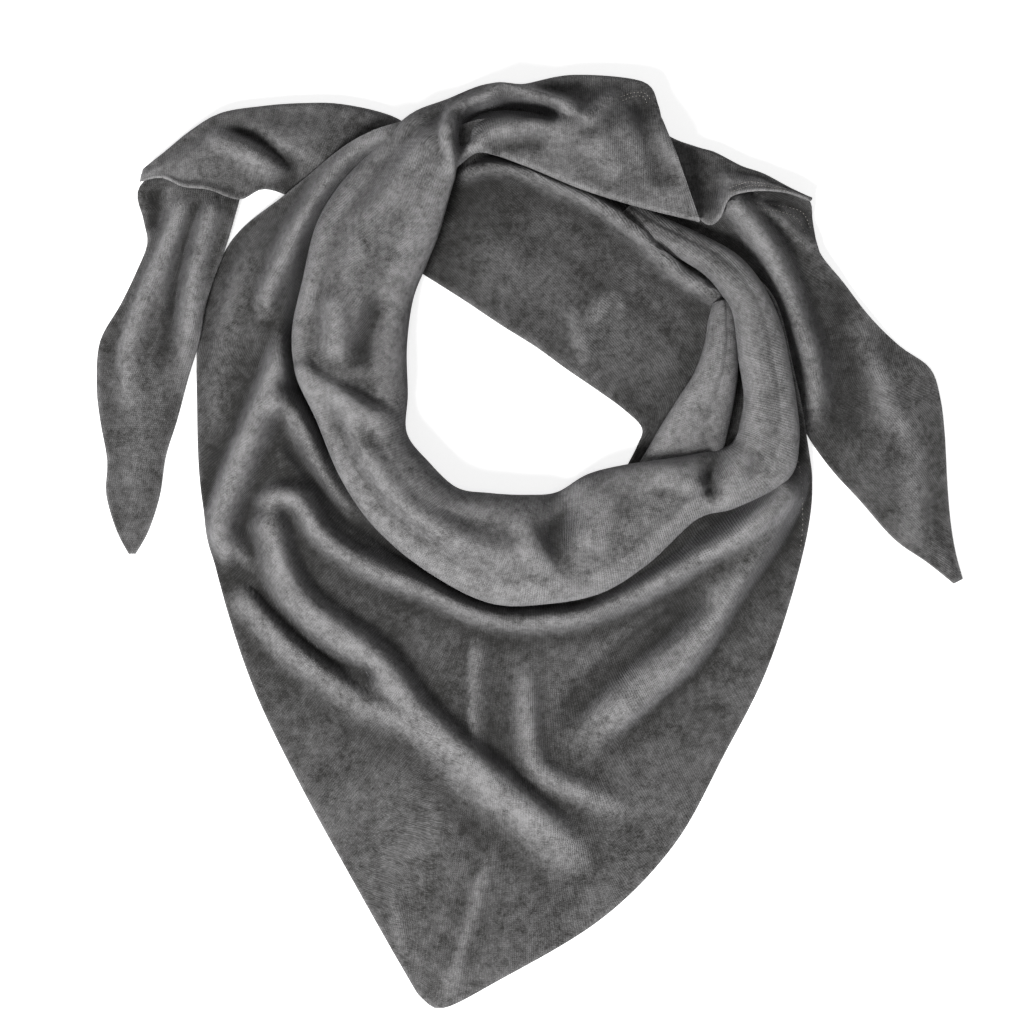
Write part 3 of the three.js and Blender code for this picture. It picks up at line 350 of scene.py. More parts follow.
LEFT_TAIL = Band(
    "left_tail", near_turn=0, far_turn=0, droop=0, crowd=1, flange=False, coarse=1.4,
    rows=[
        Row("fold back", (16.6, 93.4), (10.4, 91.9), (16, 18, 14), grain=90),
        Row("under ribbon", (16.9, 88.4), (5.1, 88.4), (18, 22, 12), grain=90),
        Row("top", (16, 84.6), (5.6, 84.6), (20, 24, 12), grain=90),
        Row("shoulder", (15, 81.6), (6, 82.2), (18, 22, 16), grain=90),
        Row("upper", (13.8, 78.8), (4.8, 79.4), (16, 20, 12), grain=90),
        Row("upper middle", (12.6, 75.4), (2.9, 75.8), (12, 16, 9), grain=90),
        Row("corner", (11.8, 71.6), (0.4, 71.8), (6, 10, 3), grain=90),
        Row("middle", (10.5, 67.5), (0, 67), (3, 8, 1), grain=90),
        Row("lower", (9.3, 63.3), (0.4, 63.3), (1, 6, 0), grain=90),
        Row("lower middle", (8, 59.4), (1.2, 59), (1, 6, 0), grain=90),
        Row("near tip", (7.3, 55.2), (1.1, 55.3), (0, 5, 0), grain=90),
        Row("tip side", (6, 51.4), (2.3, 51.4), (0, 3, 0), grain=90),
        Row("tip", (4.5, 48.9), (3.7, 48.9), (0, 0, 0), grain=90),
    ],
    folds=[
        Fold("left ridge", 18, 2.2, 1.5, [(10.9, 87.2), (9, 83.3), (7.2, 79.7), (5.4, 75.9),
             (4, 71.8), (3.5, 67.5), (4, 62.2)], fade=(0.05, 0.4)),
        Fold("right ridge", 17, 1.5, 1.6, [(13.8, 86.8), (12.7, 82.5), (11.8, 79.1), (11.1, 75),
             (10.3, 70.5), (9, 65.4)], fade=(0.05, 0.4)),
        Fold("valley", -16, 1.2, 1.2, [(11.8, 86.8), (10.6, 84), (9.6, 80.1), (8.8, 75.6),
             (7.9, 71.4), (6.8, 66.5)], fade=(0.05, 0.4)),
        Fold("fold shade", -16, 1.4, 1.4, [(7, 88.2), (7.2, 85.9), (6.5, 83.3)], fade=(0.2, 0.4)),
    ],
)

# Rows of hem stitches. pitch is the distance between two stitches and length that of one, in mm.
StitchRow = namedtuple("StitchRow", "name pitch length path")

STITCH_ROWS = [
    StitchRow("side hem", 3.6, 1.3, [(80.8, 58.9), (81.3, 55.6), (81.5, 52.4), (81.2, 49.1)]),
    StitchRow("flap edge", 2.4, 1.2, [(60.3, 97.5), (61.6, 98), (63, 98), (63.7, 97.3)]),
    StitchRow("flap edge inner", 2.4, 1.2, [(60.5, 97.1), (61.8, 97.6), (62.9, 97.6), (63.3, 96.9)]),
    StitchRow("ribbon hem", 2.2, 1.4, [(72.8, 87.3), (75.1, 88.1), (78, 87.9), (79.8, 87.4)]),
    StitchRow("ribbon hem upper", 2.2, 1.4, [(72.7, 87.8), (74.8, 88.5), (77, 88.3), (78.8, 87.9)]),
    StitchRow("tail hem", 2.6, 1.2, [(75.9, 86.4), (79, 86.2), (81.4, 85.6), (82.4, 83.8)]),
    StitchRow("tail hem lower", 2.6, 1.2, [(76.8, 85.7), (79, 85.5), (80.8, 84.8), (81.8, 83)]),
]
STITCH_WIDTH = 0.45
# The height in metres from which a stitch is dropped onto the cloth.
STITCH_REACH = 0.2

BANDS = [FRONT_BAND, BACK_BAND, SIDE_STRAND, LEFT_TAIL, RIGHT_TAIL, RIGHT_RIBBON, NECK_BAND]

# Places round a turned edge, on what it turns under, and on each stretch of a path. A fold
# grows round a turned edge by the power TURN_GIVE.
TURN_STEPS = 8
TURN_GIVE = 0.6
RETURN_STEPS = 5
PATH_STEPS = 6

# The size in metres of the small uneven wrinkles, and the share of the wrinkle depth for each.
WRINKLES = ((0.045, 1), (0.016, 0.35))
WRINKLE_SHIFT = 7.3

# Hems, in mm: the extra rows close to one, and half the thickness of its bead and its width.
EDGE_STEPS = (0.3, 0.9, 1.8)
EDGE_BEAD = 1.5
BEAD_REACH = 2.6

# What the mesh tells the material, by name, and how far apart in metres the ribs of two bands are.
RIB_MAP = "ribs"
SPREAD = "spread"
# The crest attribute holds painted light and shade: lighter on crests, high on the heap and at hem rims,
# darker in valleys and deep in the heap.
PAINTED_LIGHT_AND_SHADE = "crest"
RIB_SHIFT = 0.5

# Painted light and shade: crests of the folds and places high on the heap are painted lighter,
# valleys and places deep in the heap darker. Each scale has the places or cells that are compared,
# the rise in mm that counts as high, and its share of the painted shade. A heap cell is in mm.
CREST_SCALES = ((2, 1.1, 0.12), (8, 5, 0.16))
HEAP_CELL = 3
HEAP_SCALES = ((4, 6, 0.16), (9, 14, 0.15))

# Painted highlight on the rim of a hem: how wide it is in mm, and how much lighter it is painted.
RIM_REACH = 2.4
PAINTED_RIM_HIGHLIGHT = 0.3

# Shares of the yarn's light and dark, and the range of their sum from dark to light yarn.
TUFT_SHARE = 0.42
BLOTCH_SHARE = 0.28
FLECK_SHARE = 0.38
CLOUD_SHARE = 0.22
# CREST_SHARE sets how much painted light lightens the crests and painted shade darkens the valleys.
CREST_SHARE = 0.16
YARN_RANGE = (0.4, 0.7)

# How strongly painted shade darkens the grooves between the ribs and the valleys between the folds.
GROOVE_SHADE = 0.2
VALLEY_SHADE = 0.78

# The stage: places and sizes in metres, power in watts.
FLOOR_REACH = 6.0
FLOOR_GLOW = 0.7
KEY_LIGHT = ((-0.8, -1.1, 1.9), 0.7, 64)
FILL_LIGHT = ((0.2, 0.2, 2.4), 1.2, 8)
WORLD_LIGHT = 0.155
VIEW_CENTRE = (-0.0122, 0.0218)
VIEW_FIELD = 0.696
VIEW_LENS = 100
VIEW_SENSOR = 36


# The cloth's shape

def place(pair):
    """A pair of percents as metres from the laid scarf's corner."""
    return (pair[0] / 100 * LAID.x, pair[1] / 100 * LAID.y)


def smooth(t):
    """From 0 to 1 as t does, with soft ends."""
    return t * t * (3 - 2 * t)


def mix(a, b, t):
    """The value that lies the share t of the way from a to b."""
    return a + (b - a) * t


def as_pair(value):
    """The value twice, or the pair that it already is."""
    return value if isinstance(value, tuple) else (value, value)


def smooth_line(points, steps):
    """The smooth line through all the points, with steps[i] places on the stretch after point i."""
    points = np.asarray(points, float)
    last = len(points) - 1
    line = []
    for i in range(last):
        here, there = points[i], points[i + 1]
        t = np.arange(steps[i])[:, None] / steps[i]
        start = (there - points[max(i - 1, 0)]) / 2
        end = (points[min(i + 2, last)] - here) / 2
        rise = there - here
        bend = 3 * rise - 2 * start - end
        twist = start + end - 2 * rise
        line.append(here + t * (start + t * (bend + t * twist)))
    line.append(points[last:])
    return np.vstack(line)


def band_rows(band, sizes):
    """The band's sections: near x y, far x y, three lifts, two unders and the grain."""
    tall = sizes.heap_height
    rows = np.array([
        [*place(row.near), *place(row.far), *(tall * h / 100 for h in row.lift + row.under), row.grain]
        for row in band.rows
    ])
    spacing = sizes.facet_length * band.coarse
    gap = np.diff(rows[:, :4], axis=0)
    reach = mix(np.hypot(gap[:, 0], gap[:, 1]), np.hypot(gap[:, 2], gap[:, 3]), 0.6)
    return smooth_line(rows, np.maximum(1, np.round(reach / spacing)).astype(int))


def turned_edge(round_size, lift, under, turn, width, band, sizes):
    """Distances, heights and fold shares of what is turned under at an edge, from its end inwards."""
    low = np.minimum(under, lift - sizes.cloth_thickness)
    droop = band.droop / 100 * sizes.heap_height
    out, z, free = [], [], []
    for k in range(RETURN_STEPS):
        t = 1 - k / RETURN_STEPS
        out.append(round_size + turn * width * t)
        z.append(low - droop * t)
        free.append(np.zeros_like(width))
    for k in range(TURN_STEPS):
        angle = math.pi * k / TURN_STEPS
        out.append(round_size * (1 - math.sin(angle)))
        z.append(mix(low, lift, (1 - math.cos(angle)) / 2))
        free.append(np.full_like(width, (k / TURN_STEPS) ** TURN_GIVE))
    return np.array(out).T, np.array(z).T, np.array(free).T


def band_points(band, sizes):
    """The middle of the cloth as a grid of places, how far a fold may move each, and the grain."""
    rows = band_rows(band, sizes)
    near, far = rows[:, 0:2], rows[:, 2:4]
    near_lift, middle_lift, far_lift, near_under, far_under = rows[:, 4:9].T
    width = np.hypot(*(far - near).T)
    half = sizes.cloth_thickness / 2

    def room_for(rise, turn):
        return np.clip(rise / 2, half, width / 3) if turn > 0 else np.zeros_like(width)

    near_round = room_for(near_lift - near_under, band.near_turn)
    far_round = room_for(far_lift - far_under, band.far_turn)
    columns = max(4, round(np.max(width) / (sizes.facet_length * band.coarse)))
    t = (np.arange(columns + 1) / columns) ** band.crowd
    first = np.arange(columns + 1) == 0
    start = np.where(band.flange & ~first[None, :], middle_lift[:, None], near_lift[:, None])
    z = np.where(
        t < 0.5,
        mix(start, middle_lift[:, None], smooth(np.minimum(t * 2, 1))),
        mix(middle_lift[:, None], far_lift[:, None], smooth(np.maximum(t * 2 - 1, 0))),
    )
    away = mix(near_round[:, None], (width - far_round)[:, None], t)
    free = np.ones_like(away)
    if band.near_turn > 0:
        out, low, give = turned_edge(near_round, near_lift, near_under, band.near_turn, width, band, sizes)
        away, z, free = np.hstack([out, away]), np.hstack([low, z]), np.hstack([give, free])
    if band.far_turn > 0:
        out, low, give = turned_edge(far_round, far_lift, far_under, band.far_turn, width, band, sizes)
        away = np.hstack([away, width[:, None] - out[:, ::-1]])
        z, free = np.hstack([z, low[:, ::-1]]), np.hstack([free, give[:, ::-1]])
    share = away / width[:, None]
    x = mix(near[:, 0:1], far[:, 0:1], share)
    y = mix(near[:, 1:2], far[:, 1:2], share)
    return np.dstack([x, y, np.maximum(z, half)]), free, rows[:, 9]


def fold_shift(fold, x, y, sizes):
    """How far a fold moves the cloth at each place, along X, Y and Z."""
    path = [place(pair) for pair in fold.path]
    line = smooth_line(path, [PATH_STEPS] * (len(path) - 1))
    left, right = np.array([as_pair(fold.left), as_pair(fold.right)]) / 100 * LAID.x
    widest = max(*left, *right)
    low, high = line.min(axis=0) - widest, line.max(axis=0) + widest
    shift = np.zeros((len(x), 3))
    inside = np.nonzero((x > low[0]) & (x < high[0]) & (y > low[1]) & (y < high[1]))[0]
    if not len(inside):
        return shift
    px, py = x[inside], y[inside]
    best = np.full(len(inside), np.inf)
    side, along = np.zeros(len(inside)), np.zeros(len(inside))
    across = np.zeros((len(inside), 2))
    for i in range(len(line) - 1):
        ax, ay = line[i]
        dx, dy = line[i + 1] - line[i]
        size = math.hypot(dx, dy)
        t = np.clip(((px - ax) * dx + (py - ay) * dy) / size ** 2, 0, 1)
        gap = np.hypot(px - ax - dx * t, py - ay - dy * t)
        closer = gap < best
        best[closer] = gap[closer]
        side[closer] = ((px - ax) * dy - (py - ay) * dx)[closer]
        along[closer] = (i + t[closer]) / (len(line) - 1)
        across[closer] = (dy / size, -dx / size)
    reach = np.minimum(best / np.where(side > 0, mix(*right, along), mix(*left, along)), 1)
    ends = smooth(np.clip(np.minimum(along / fold.fade[0], (1 - along) / fold.fade[1]), 0, 1))
    tall = fold.height / 100 * sizes.heap_height * sizes.fold_relief
    rise = tall * ((1 + np.cos(math.pi * reach)) / 2) ** fold.crest * ends
    shift[inside, 2] = rise
    shift[inside, :2] = across * (rise * fold.lean)[:, None]
    return shift


def soft_noise(points, scale, seed):
    """Smooth noise from -1 to 1 at each place, with lumps of about the given size."""
    return np.array([noise.noise(Vector((x / scale, y / scale, z / scale + seed))) for x, y, z in points])


def band_sheet(band, sizes, seed):
    """The middle of the cloth of a band, with its folds and small wrinkles, and its grain."""
    points, free, grain = band_points(band, sizes)
    shape = free.shape
    flat = points.reshape(-1, 3).copy()
    moved = flat.copy()
    for fold in band.folds:
        moved += fold_shift(fold, flat[:, 0], flat[:, 1], sizes) * free.reshape(-1, 1)
    for scale, share in WRINKLES:
        moved[:, 2] += soft_noise(flat, scale, seed) * (sizes.wrinkle_depth * share) * free.ravel()
    moved[:, 2] = np.maximum(moved[:, 2], sizes.cloth_thickness / 2)
    return moved.reshape(*shape, 3), grain


def wale_map(sheet, grain):
    """Distances across and along the knit ribs at each place, and how much the ribs are spread."""
    along = np.linalg.norm(np.diff(sheet, axis=0), axis=2).mean(axis=1)
    across = np.linalg.norm(np.diff(sheet, axis=1), axis=2)
    turn = np.radians(grain)
    s = np.concatenate([[0], np.cumsum(along * np.cos((turn[1:] + turn[:-1]) / 2))])
    s_up = np.concatenate([[0], np.cumsum(along * np.sin((turn[1:] + turn[:-1]) / 2))])
    t = np.hstack([np.zeros((len(sheet), 1)), np.cumsum(across, axis=1)])
    u = s[:, None] - t * np.sin(turn)[:, None]
    v = s_up[:, None] + t * np.cos(turn)[:, None]
    down, side = np.gradient(sheet, axis=0), np.gradient(sheet, axis=1)
    u_down, u_side = np.gradient(u, axis=0), np.gradient(u, axis=1)
    long, cross, wide = (down ** 2).sum(2), (down * side).sum(2), (side ** 2).sum(2)
    area = np.maximum(long * wide - cross ** 2, 1e-14)
    steep = (wide * u_down ** 2 - 2 * cross * u_down * u_side + long * u_side ** 2) / area
    return u, v, np.clip(np.sqrt(np.maximum(steep, 0)), 0.15, 4)


def softened(grid, steps):
    """The grid with each place moved to the mean of the places up to that many steps away."""
    for axis in (0, 1):
        for _ in range(2):
            ends = [(steps + 1, steps) if i == axis else (0, 0) for i in range(3)]
            total = np.cumsum(np.pad(grid, ends, mode="edge"), axis=axis)
            last = total.shape[axis]
            upper = np.take(total, range(2 * steps + 1, last), axis)
            lower = np.take(total, range(last - 2 * steps - 1), axis)
            grid = (upper - lower) / (2 * steps + 1)
    return grid


def crest_map(sheet):
    """How far each place stands out of the cloth round it, from 0 in a valley to 1 on a crest."""
    normal = np.cross(np.gradient(sheet, axis=0), np.gradient(sheet, axis=1))
    normal /= np.maximum(np.linalg.norm(normal, axis=2, keepdims=True), 1e-12)
    crest = np.full(sheet.shape[:2], 0.5)
    for steps, rise, share in CREST_SCALES:
        steps = min(steps, (min(sheet.shape[:2]) - 1) // 2)
        stands = ((sheet - softened(sheet, steps)) * normal).sum(axis=2)
        crest += share * np.tanh(stands / (rise * MM))
    return np.clip(crest, 0, 1)


def heap_map(corners):
    """How far each corner stands out of the heap of cloth round it, from -1 deep down to 1 on top."""
    cell = HEAP_CELL * MM
    at = ((corners[:, :2] - corners[:, :2].min(axis=0)) / cell).astype(int)
    top = np.full(at.max(axis=0) + 1, -1.0)
    np.maximum.at(top, (at[:, 0], at[:, 1]), corners[:, 2])
    cloth = np.dstack([np.maximum(top, 0), top >= 0]).astype(float)
    stands = np.zeros(len(corners))
    for steps, rise, share in HEAP_SCALES:
        soft = softened(cloth, steps)
        level = soft[:, :, 0] / np.maximum(soft[:, :, 1], 1e-6)
        stands += share * np.tanh((corners[:, 2] - level[at[:, 0], at[:, 1]]) / (rise * MM))
    return stands


def with_edge_rows(grid):
    """The grid with extra rows close to its first and last row, for a round hem."""
    rows = [grid[0]]
    gap = np.linalg.norm(grid[1] - grid[0], axis=-1, keepdims=True)
    rows += [grid[0] + (grid[1] - grid[0]) * np.clip(d * MM / np.maximum(gap, 1e-6), 0, 0.75)
             for d in EDGE_STEPS]
    rows += list(grid[1:-1])
    gap = np.linalg.norm(grid[-2] - grid[-1], axis=-1, keepdims=True)
    rows += [grid[-1] + (grid[-2] - grid[-1]) * np.clip(d * MM / np.maximum(gap, 1e-6), 0, 0.75)
             for d in reversed(EDGE_STEPS)]
    rows.append(grid[-1])
    return np.array(rows)


def with_edges(sheet):
    """The sheet with extra rows and columns at its hems."""
    sheet = with_edge_rows(sheet)
    return with_edge_rows(sheet.transpose(1, 0, 2)).transpose(1, 0, 2)


def hem_distance(sheet):
    """How far each place lies from the nearest hem, along the cloth."""
    def from_edge(grid):
        step = np.linalg.norm(np.diff(grid, axis=0), axis=2)
        total = np.vstack([np.zeros((1, grid.shape[1])), np.cumsum(step, axis=0)])
        return np.minimum(total, total[-1] - total)

    return np.minimum(from_edge(sheet), from_edge(sheet.transpose(1, 0, 2)).T)


def half_thickness(sheet, sizes):
    """Half the cloth's thickness at each place, swelling to a small bead and rounding off at the hems."""
    half = sizes.cloth_thickness / 2
    distance = hem_distance(sheet)
    bead = EDGE_BEAD * MM
    swell = half + (bead - half) * smooth(np.clip(1 - distance / (BEAD_REACH * MM), 0, 1))
    inwards = np.clip(distance / bead, 0, 1)
    return swell * np.maximum(np.sqrt(1 - (1 - inwards) ** 2), 0.12)


def thick_faces(n, m):
    """Corner numbers of the faces of a closed cloth made of an upper and a lower n by m grid."""
    upper = np.arange(n * m).reshape(n, m)
    lower = upper + n * m

    def quads(a, b, c, d):
        return np.stack([a, b, c, d], axis=-1).reshape(-1, 4)

    return np.vstack([
        quads(upper[:-1, :-1], upper[1:, :-1], upper[1:, 1:], upper[:-1, 1:]),
        quads(lower[:-1, :-1], lower[:-1, 1:], lower[1:, 1:], lower[1:, :-1]),
        quads(upper[:-1, 0], lower[:-1, 0], lower[1:, 0], upper[1:, 0]),
        quads(upper[1:, -1], lower[1:, -1], lower[:-1, -1], upper[:-1, -1]),
        quads(upper[0, 1:], lower[0, 1:], lower[0, :-1], upper[0, :-1]),
        quads(upper[-1, :-1], lower[-1, :-1], lower[-1, 1:], upper[-1, 1:]),
    ])


def thick_cloth(sheet, sizes):
    """Corners of the closed cloth around the middle sheet."""
    down, side = np.gradient(sheet, axis=0), np.gradient(sheet, axis=1)
    normal = np.cross(down, side)
    normal /= np.maximum(np.linalg.norm(normal, axis=2, keepdims=True), 1e-12)
    offset = normal * half_thickness(sheet, sizes)[:, :, None]
    both = np.concatenate([(sheet + offset).reshape(-1, 3), (sheet - offset).reshape(-1, 3)])
    both[:, 2] = np.maximum(both[:, 2], 0)
    return both


def cloth_mesh(sizes):
    """One mesh of all the bands, with the ribs' distances as a UV map and their spread as a number."""
    corners, faces, ribs, spread, crest, painted_rim_highlights = [], [], [], [], [], []
    count = 0
    for number, band in enumerate(BANDS):
        sheet, grain = band_sheet(band, sizes, number * WRINKLE_SHIFT)
        u, v, wide = wale_map(sheet, grain)
        packed = with_edges(np.dstack([sheet, u, v, wide, crest_map(sheet)]))
        sheet, rib = packed[:, :, :3], packed[:, :, 3:5].reshape(-1, 2)
        n, m = sheet.shape[:2]
        # Each hem's rim gets a painted highlight.
        painted_rim_highlight = PAINTED_RIM_HIGHLIGHT * smooth(np.clip(1 - hem_distance(sheet) / (RIM_REACH * MM), 0, 1)).ravel()
        # How far each place stands out of the cloth: the upper side is painted lighter on crests and darker
        # in valleys, and the lower side the other way round.
        high = packed[:, :, 6].ravel()
        corners.append(thick_cloth(sheet, sizes))
        faces.append(thick_faces(n, m) + count)
        ribs += [rib + (0, number * RIB_SHIFT)] * 2
        spread += [packed[:, :, 5].ravel()] * 2
        crest += [high, 1 - high]
        painted_rim_highlights += [painted_rim_highlight, painted_rim_highlight]
        count += 2 * n * m
    corners = np.vstack(corners) + np.array([CORNER.x, CORNER.y, CORNER.z])
    faces, ribs, spread = np.vstack(faces), np.vstack(ribs), np.concatenate(spread)
    # Painted light and shade: crests, high places on the heap and hem rims are painted lighter, valleys and
    # deep places darker.
    crest = np.clip(np.concatenate(crest) + heap_map(corners), 0, 1) + np.concatenate(painted_rim_highlights)
    mesh = bpy.data.meshes.new("scarf_cloth")
    mesh.from_pydata([], [], [])
    mesh.vertices.add(len(corners))
    mesh.vertices.foreach_set("co", corners.astype(np.float32).ravel())
    mesh.loops.add(faces.size)
    mesh.loops.foreach_set("vertex_index", faces.astype(np.int32).ravel())
    mesh.polygons.add(len(faces))
    mesh.polygons.foreach_set("loop_start", np.arange(0, faces.size, 4, dtype=np.int32))
    layer = mesh.uv_layers.new(name=RIB_MAP)
    layer.uv.foreach_set("vector", ribs[faces.ravel()].astype(np.float32).ravel())
    for name, values in ((SPREAD, spread), (PAINTED_LIGHT_AND_SHADE, crest)):
        mesh.attributes.new(name, "FLOAT", "POINT").data.foreach_set("value", values.astype(np.float32))
    mesh.update(calc_edges=True)
    mesh.validate()
    mesh.shade_smooth()
    return mesh


def stitches_mesh(cloth):
    """One mesh of all the hem stitches, each a small long bead lying on the cloth."""
    bm = bmesh.new()
    down = Vector((0, 0, -1))
    corner = np.array(CORNER[:2])
    for row in STITCH_ROWS:
        points = np.array([place(pair) for pair in row.path]) + corner
        line = smooth_line(points, [PATH_STEPS] * (len(points) - 1))
        far = np.concatenate([[0], np.cumsum(np.linalg.norm(np.diff(line, axis=0), axis=1))])
        for at in np.arange(0, far[-1], row.pitch * MM):
            ends = [Vector((*(np.interp(d, far, line[:, axis]) for axis in (0, 1)), STITCH_REACH))
                    for d in (at, at + row.length * MM)]
            hits = [cloth.ray_cast(end, down) for end in ends]
            if not all(hit[0] for hit in hits):
                raise RuntimeError(f"Stitch row {row.name} runs off the cloth")
            along = hits[1][1] - hits[0][1]
            turn = Matrix(np.column_stack([
                along.normalized(), hits[0][2].cross(along).normalized(), hits[0][2]])).to_4x4()
            size = Matrix.Diagonal((along.length / 2, STITCH_WIDTH * MM / 2, STITCH_WIDTH * MM / 2, 1))
            middle = Matrix.Translation((hits[0][1] + hits[1][1]) / 2)
            bmesh.ops.create_icosphere(bm, subdivisions=1, radius=1, matrix=middle @ turn @ size)
    mesh = bpy.data.meshes.new("hem_stitches")
    bm.to_mesh(mesh)
    bm.free()
    mesh.shade_smooth()
    return mesh


# Materials

def add_node(tree, kind, inputs=None, **settings):
    """A node of that kind. Each input is given a value, or linked where it is another node's socket."""
    node = tree.nodes.new(kind)
    for name, value in settings.items():
        setattr(node, name, value)
    for name, value in (inputs or {}).items():
        if isinstance(value, bpy.types.NodeSocket):
            tree.links.new(value, node.inputs[name])
        else:
            node.inputs[name].default_value = value
    return node


def calc(tree, operation, a, b=0.0, c=0.0):
    """The result of one sum."""
    return add_node(tree, "ShaderNodeMath", {0: a, 1: b, 2: c}, operation=operation).outputs[0]


def blend_values(tree, share, a, b):
    """A value between a and b."""
    return add_node(tree, "ShaderNodeMix", {0: share, 2: a, 3: b}, data_type="FLOAT").outputs[0]


def blend_colours(tree, share, a, b):
    """A colour between a and b."""
    return add_node(tree, "ShaderNodeMix", {0: share, 6: a, 7: b}, data_type="RGBA").outputs[2]


def speckle(tree, vector, scale, detail=2.0, roughness=0.5):
    """Noise between 0 and 1."""
    settings = {"Vector": vector, "Scale": scale, "Detail": detail, "Roughness": roughness}
    return add_node(tree, "ShaderNodeTexNoise", settings).outputs["Fac"]


def new_group(name, inputs, outputs):
    """An empty shader node group with those inputs and outputs, and its two end nodes."""
    tree = bpy.data.node_groups.new(name, "ShaderNodeTree")
    for label, kind, default in inputs:
        socket = tree.interface.new_socket(label, in_out="INPUT", socket_type=kind)
        if default is not None:
            socket.default_value = default
    for label, kind in outputs:
        tree.interface.new_socket(label, in_out="OUTPUT", socket_type=kind)
    return tree, tree.nodes.new("NodeGroupInput").outputs, tree.nodes.new("NodeGroupOutput").inputs


def knit_group():
    """Ribs of stitches: their height, and how deep a place lies between the ribs."""
    tree, given, result = new_group(
        "Knit ribs",
        [("Ribs", "NodeSocketVector", None), ("Spread", "NodeSocketFloat", 1.0),
         ("Pitch", "NodeSocketFloat", 0.0015), ("Course", "NodeSocketFloat", 0.0012),
         ("Fuzz", "NodeSocketFloat", 0.5)],
        [("Height", "NodeSocketFloat"), ("Groove", "NodeSocketFloat")],
    )
    parts = add_node(tree, "ShaderNodeSeparateXYZ", {0: given["Ribs"]}).outputs
    wander = calc(tree, "SUBTRACT", speckle(tree, given["Ribs"], 120.0), 0.5)
    across = calc(tree, "DIVIDE", calc(tree, "MULTIPLY_ADD", wander, 0.0012, parts["X"]), given["Pitch"])
    level = calc(tree, "MULTIPLY", calc(tree, "LOGARITHM", given["Spread"], 2.0), -1.0)
    whole = calc(tree, "FLOOR", level)
    part = calc(tree, "SUBTRACT", level, whole)
    coarse = calc(tree, "MULTIPLY", across, calc(tree, "POWER", 2.0, whole))
    fine = calc(tree, "MULTIPLY", coarse, 2.0)
    along = calc(tree, "DIVIDE", parts["Y"], given["Course"])

    def stitches(count):
        wave = calc(tree, "COSINE", calc(tree, "MULTIPLY", count, math.tau))
        saw = calc(tree, "ABSOLUTE", calc(tree, "SUBTRACT", calc(tree, "FRACT", count), 0.5))
        turn = calc(tree, "MULTIPLY_ADD", saw, 1.3, along)
        chain = calc(tree, "SINE", calc(tree, "MULTIPLY", turn, math.tau))
        return calc(tree, "MULTIPLY_ADD", chain, 0.7, wave)

    ribs = blend_values(tree, part, stitches(coarse), stitches(fine))
    felt = calc(tree, "SUBTRACT", speckle(tree, given["Ribs"], 900.0, 3.0), 0.5)
    height = calc(tree, "MULTIPLY_ADD", felt, given["Fuzz"], calc(tree, "MULTIPLY", ribs, 0.5))
    tree.links.new(height, result["Height"])
    # How deep a place lies between the ribs, which the material turns into painted shade.
    painted_shade = calc(tree, "MULTIPLY_ADD", ribs, -0.5, 0.5)
    tree.links.new(painted_shade, result["Groove"])
    return tree


def heather_group():
    """Mixed light and dark yarn: clouds, blotches, tufts and single flecks, with crests painted lighter and
    valleys darker.
    """
    tree, given, result = new_group(
        "Heather yarn",
        [("Place", "NodeSocketVector", None), ("Ribs", "NodeSocketVector", None),
         ("Crest", "NodeSocketFloat", 0.5), ("Cloud size", "NodeSocketFloat", 0.03),
         ("Blotch size", "NodeSocketFloat", 0.012), ("Tuft size", "NodeSocketFloat", 0.004)],
        [("Shade", "NodeSocketFloat")],
    )
    blotch = speckle(tree, given["Place"], calc(tree, "DIVIDE", 1.0, given["Blotch size"]), 3.0, 0.6)
    cloud = speckle(tree, given["Place"], calc(tree, "DIVIDE", 1.0, given["Cloud size"]), 2.0)
    tuft = speckle(tree, given["Place"], calc(tree, "DIVIDE", 1.0, given["Tuft size"]), 3.0, 0.7)
    fleck = speckle(tree, given["Ribs"], 1100.0, 2.0)
    mixed = calc(tree, "MULTIPLY_ADD", tuft, TUFT_SHARE, calc(tree, "MULTIPLY", blotch, BLOTCH_SHARE))
    mixed = calc(tree, "MULTIPLY_ADD", fleck, FLECK_SHARE, mixed)
    mixed = calc(tree, "MULTIPLY_ADD", calc(tree, "SUBTRACT", cloud, 0.5), CLOUD_SHARE, mixed)
    # Painted light and shade: crests take more light yarn, valleys more dark yarn.
    high = calc(tree, "SUBTRACT", given["Crest"], 0.5)
    mixed = calc(tree, "MULTIPLY_ADD", high, CREST_SHARE, mixed)
    dark, light = YARN_RANGE
    shade = add_node(tree, "ShaderNodeMapRange",
                     {"Value": mixed, "From Min": dark, "From Max": light}).outputs[0]
    tree.links.new(shade, result["Shade"])
    return tree


def new_material(name):
    material = bpy.data.materials.new(name)
    material.use_nodes = True
    tree = material.node_tree
    tree.nodes.clear()
    shader = tree.nodes.new("ShaderNodeBsdfPrincipled")
    output = tree.nodes.new("ShaderNodeOutputMaterial")
    tree.links.new(shader.outputs[0], output.inputs["Surface"])
    return material, tree, shader


def use_group(tree, name, inputs):
    """A group node placed in a material with its own values."""
    node = tree.nodes.new("ShaderNodeGroup")
    node.node_tree = bpy.data.node_groups[name]
    for label, value in inputs.items():
        if isinstance(value, bpy.types.NodeSocket):
            tree.links.new(value, node.inputs[label])
        else:
            node.inputs[label].default_value = value
    return node.outputs


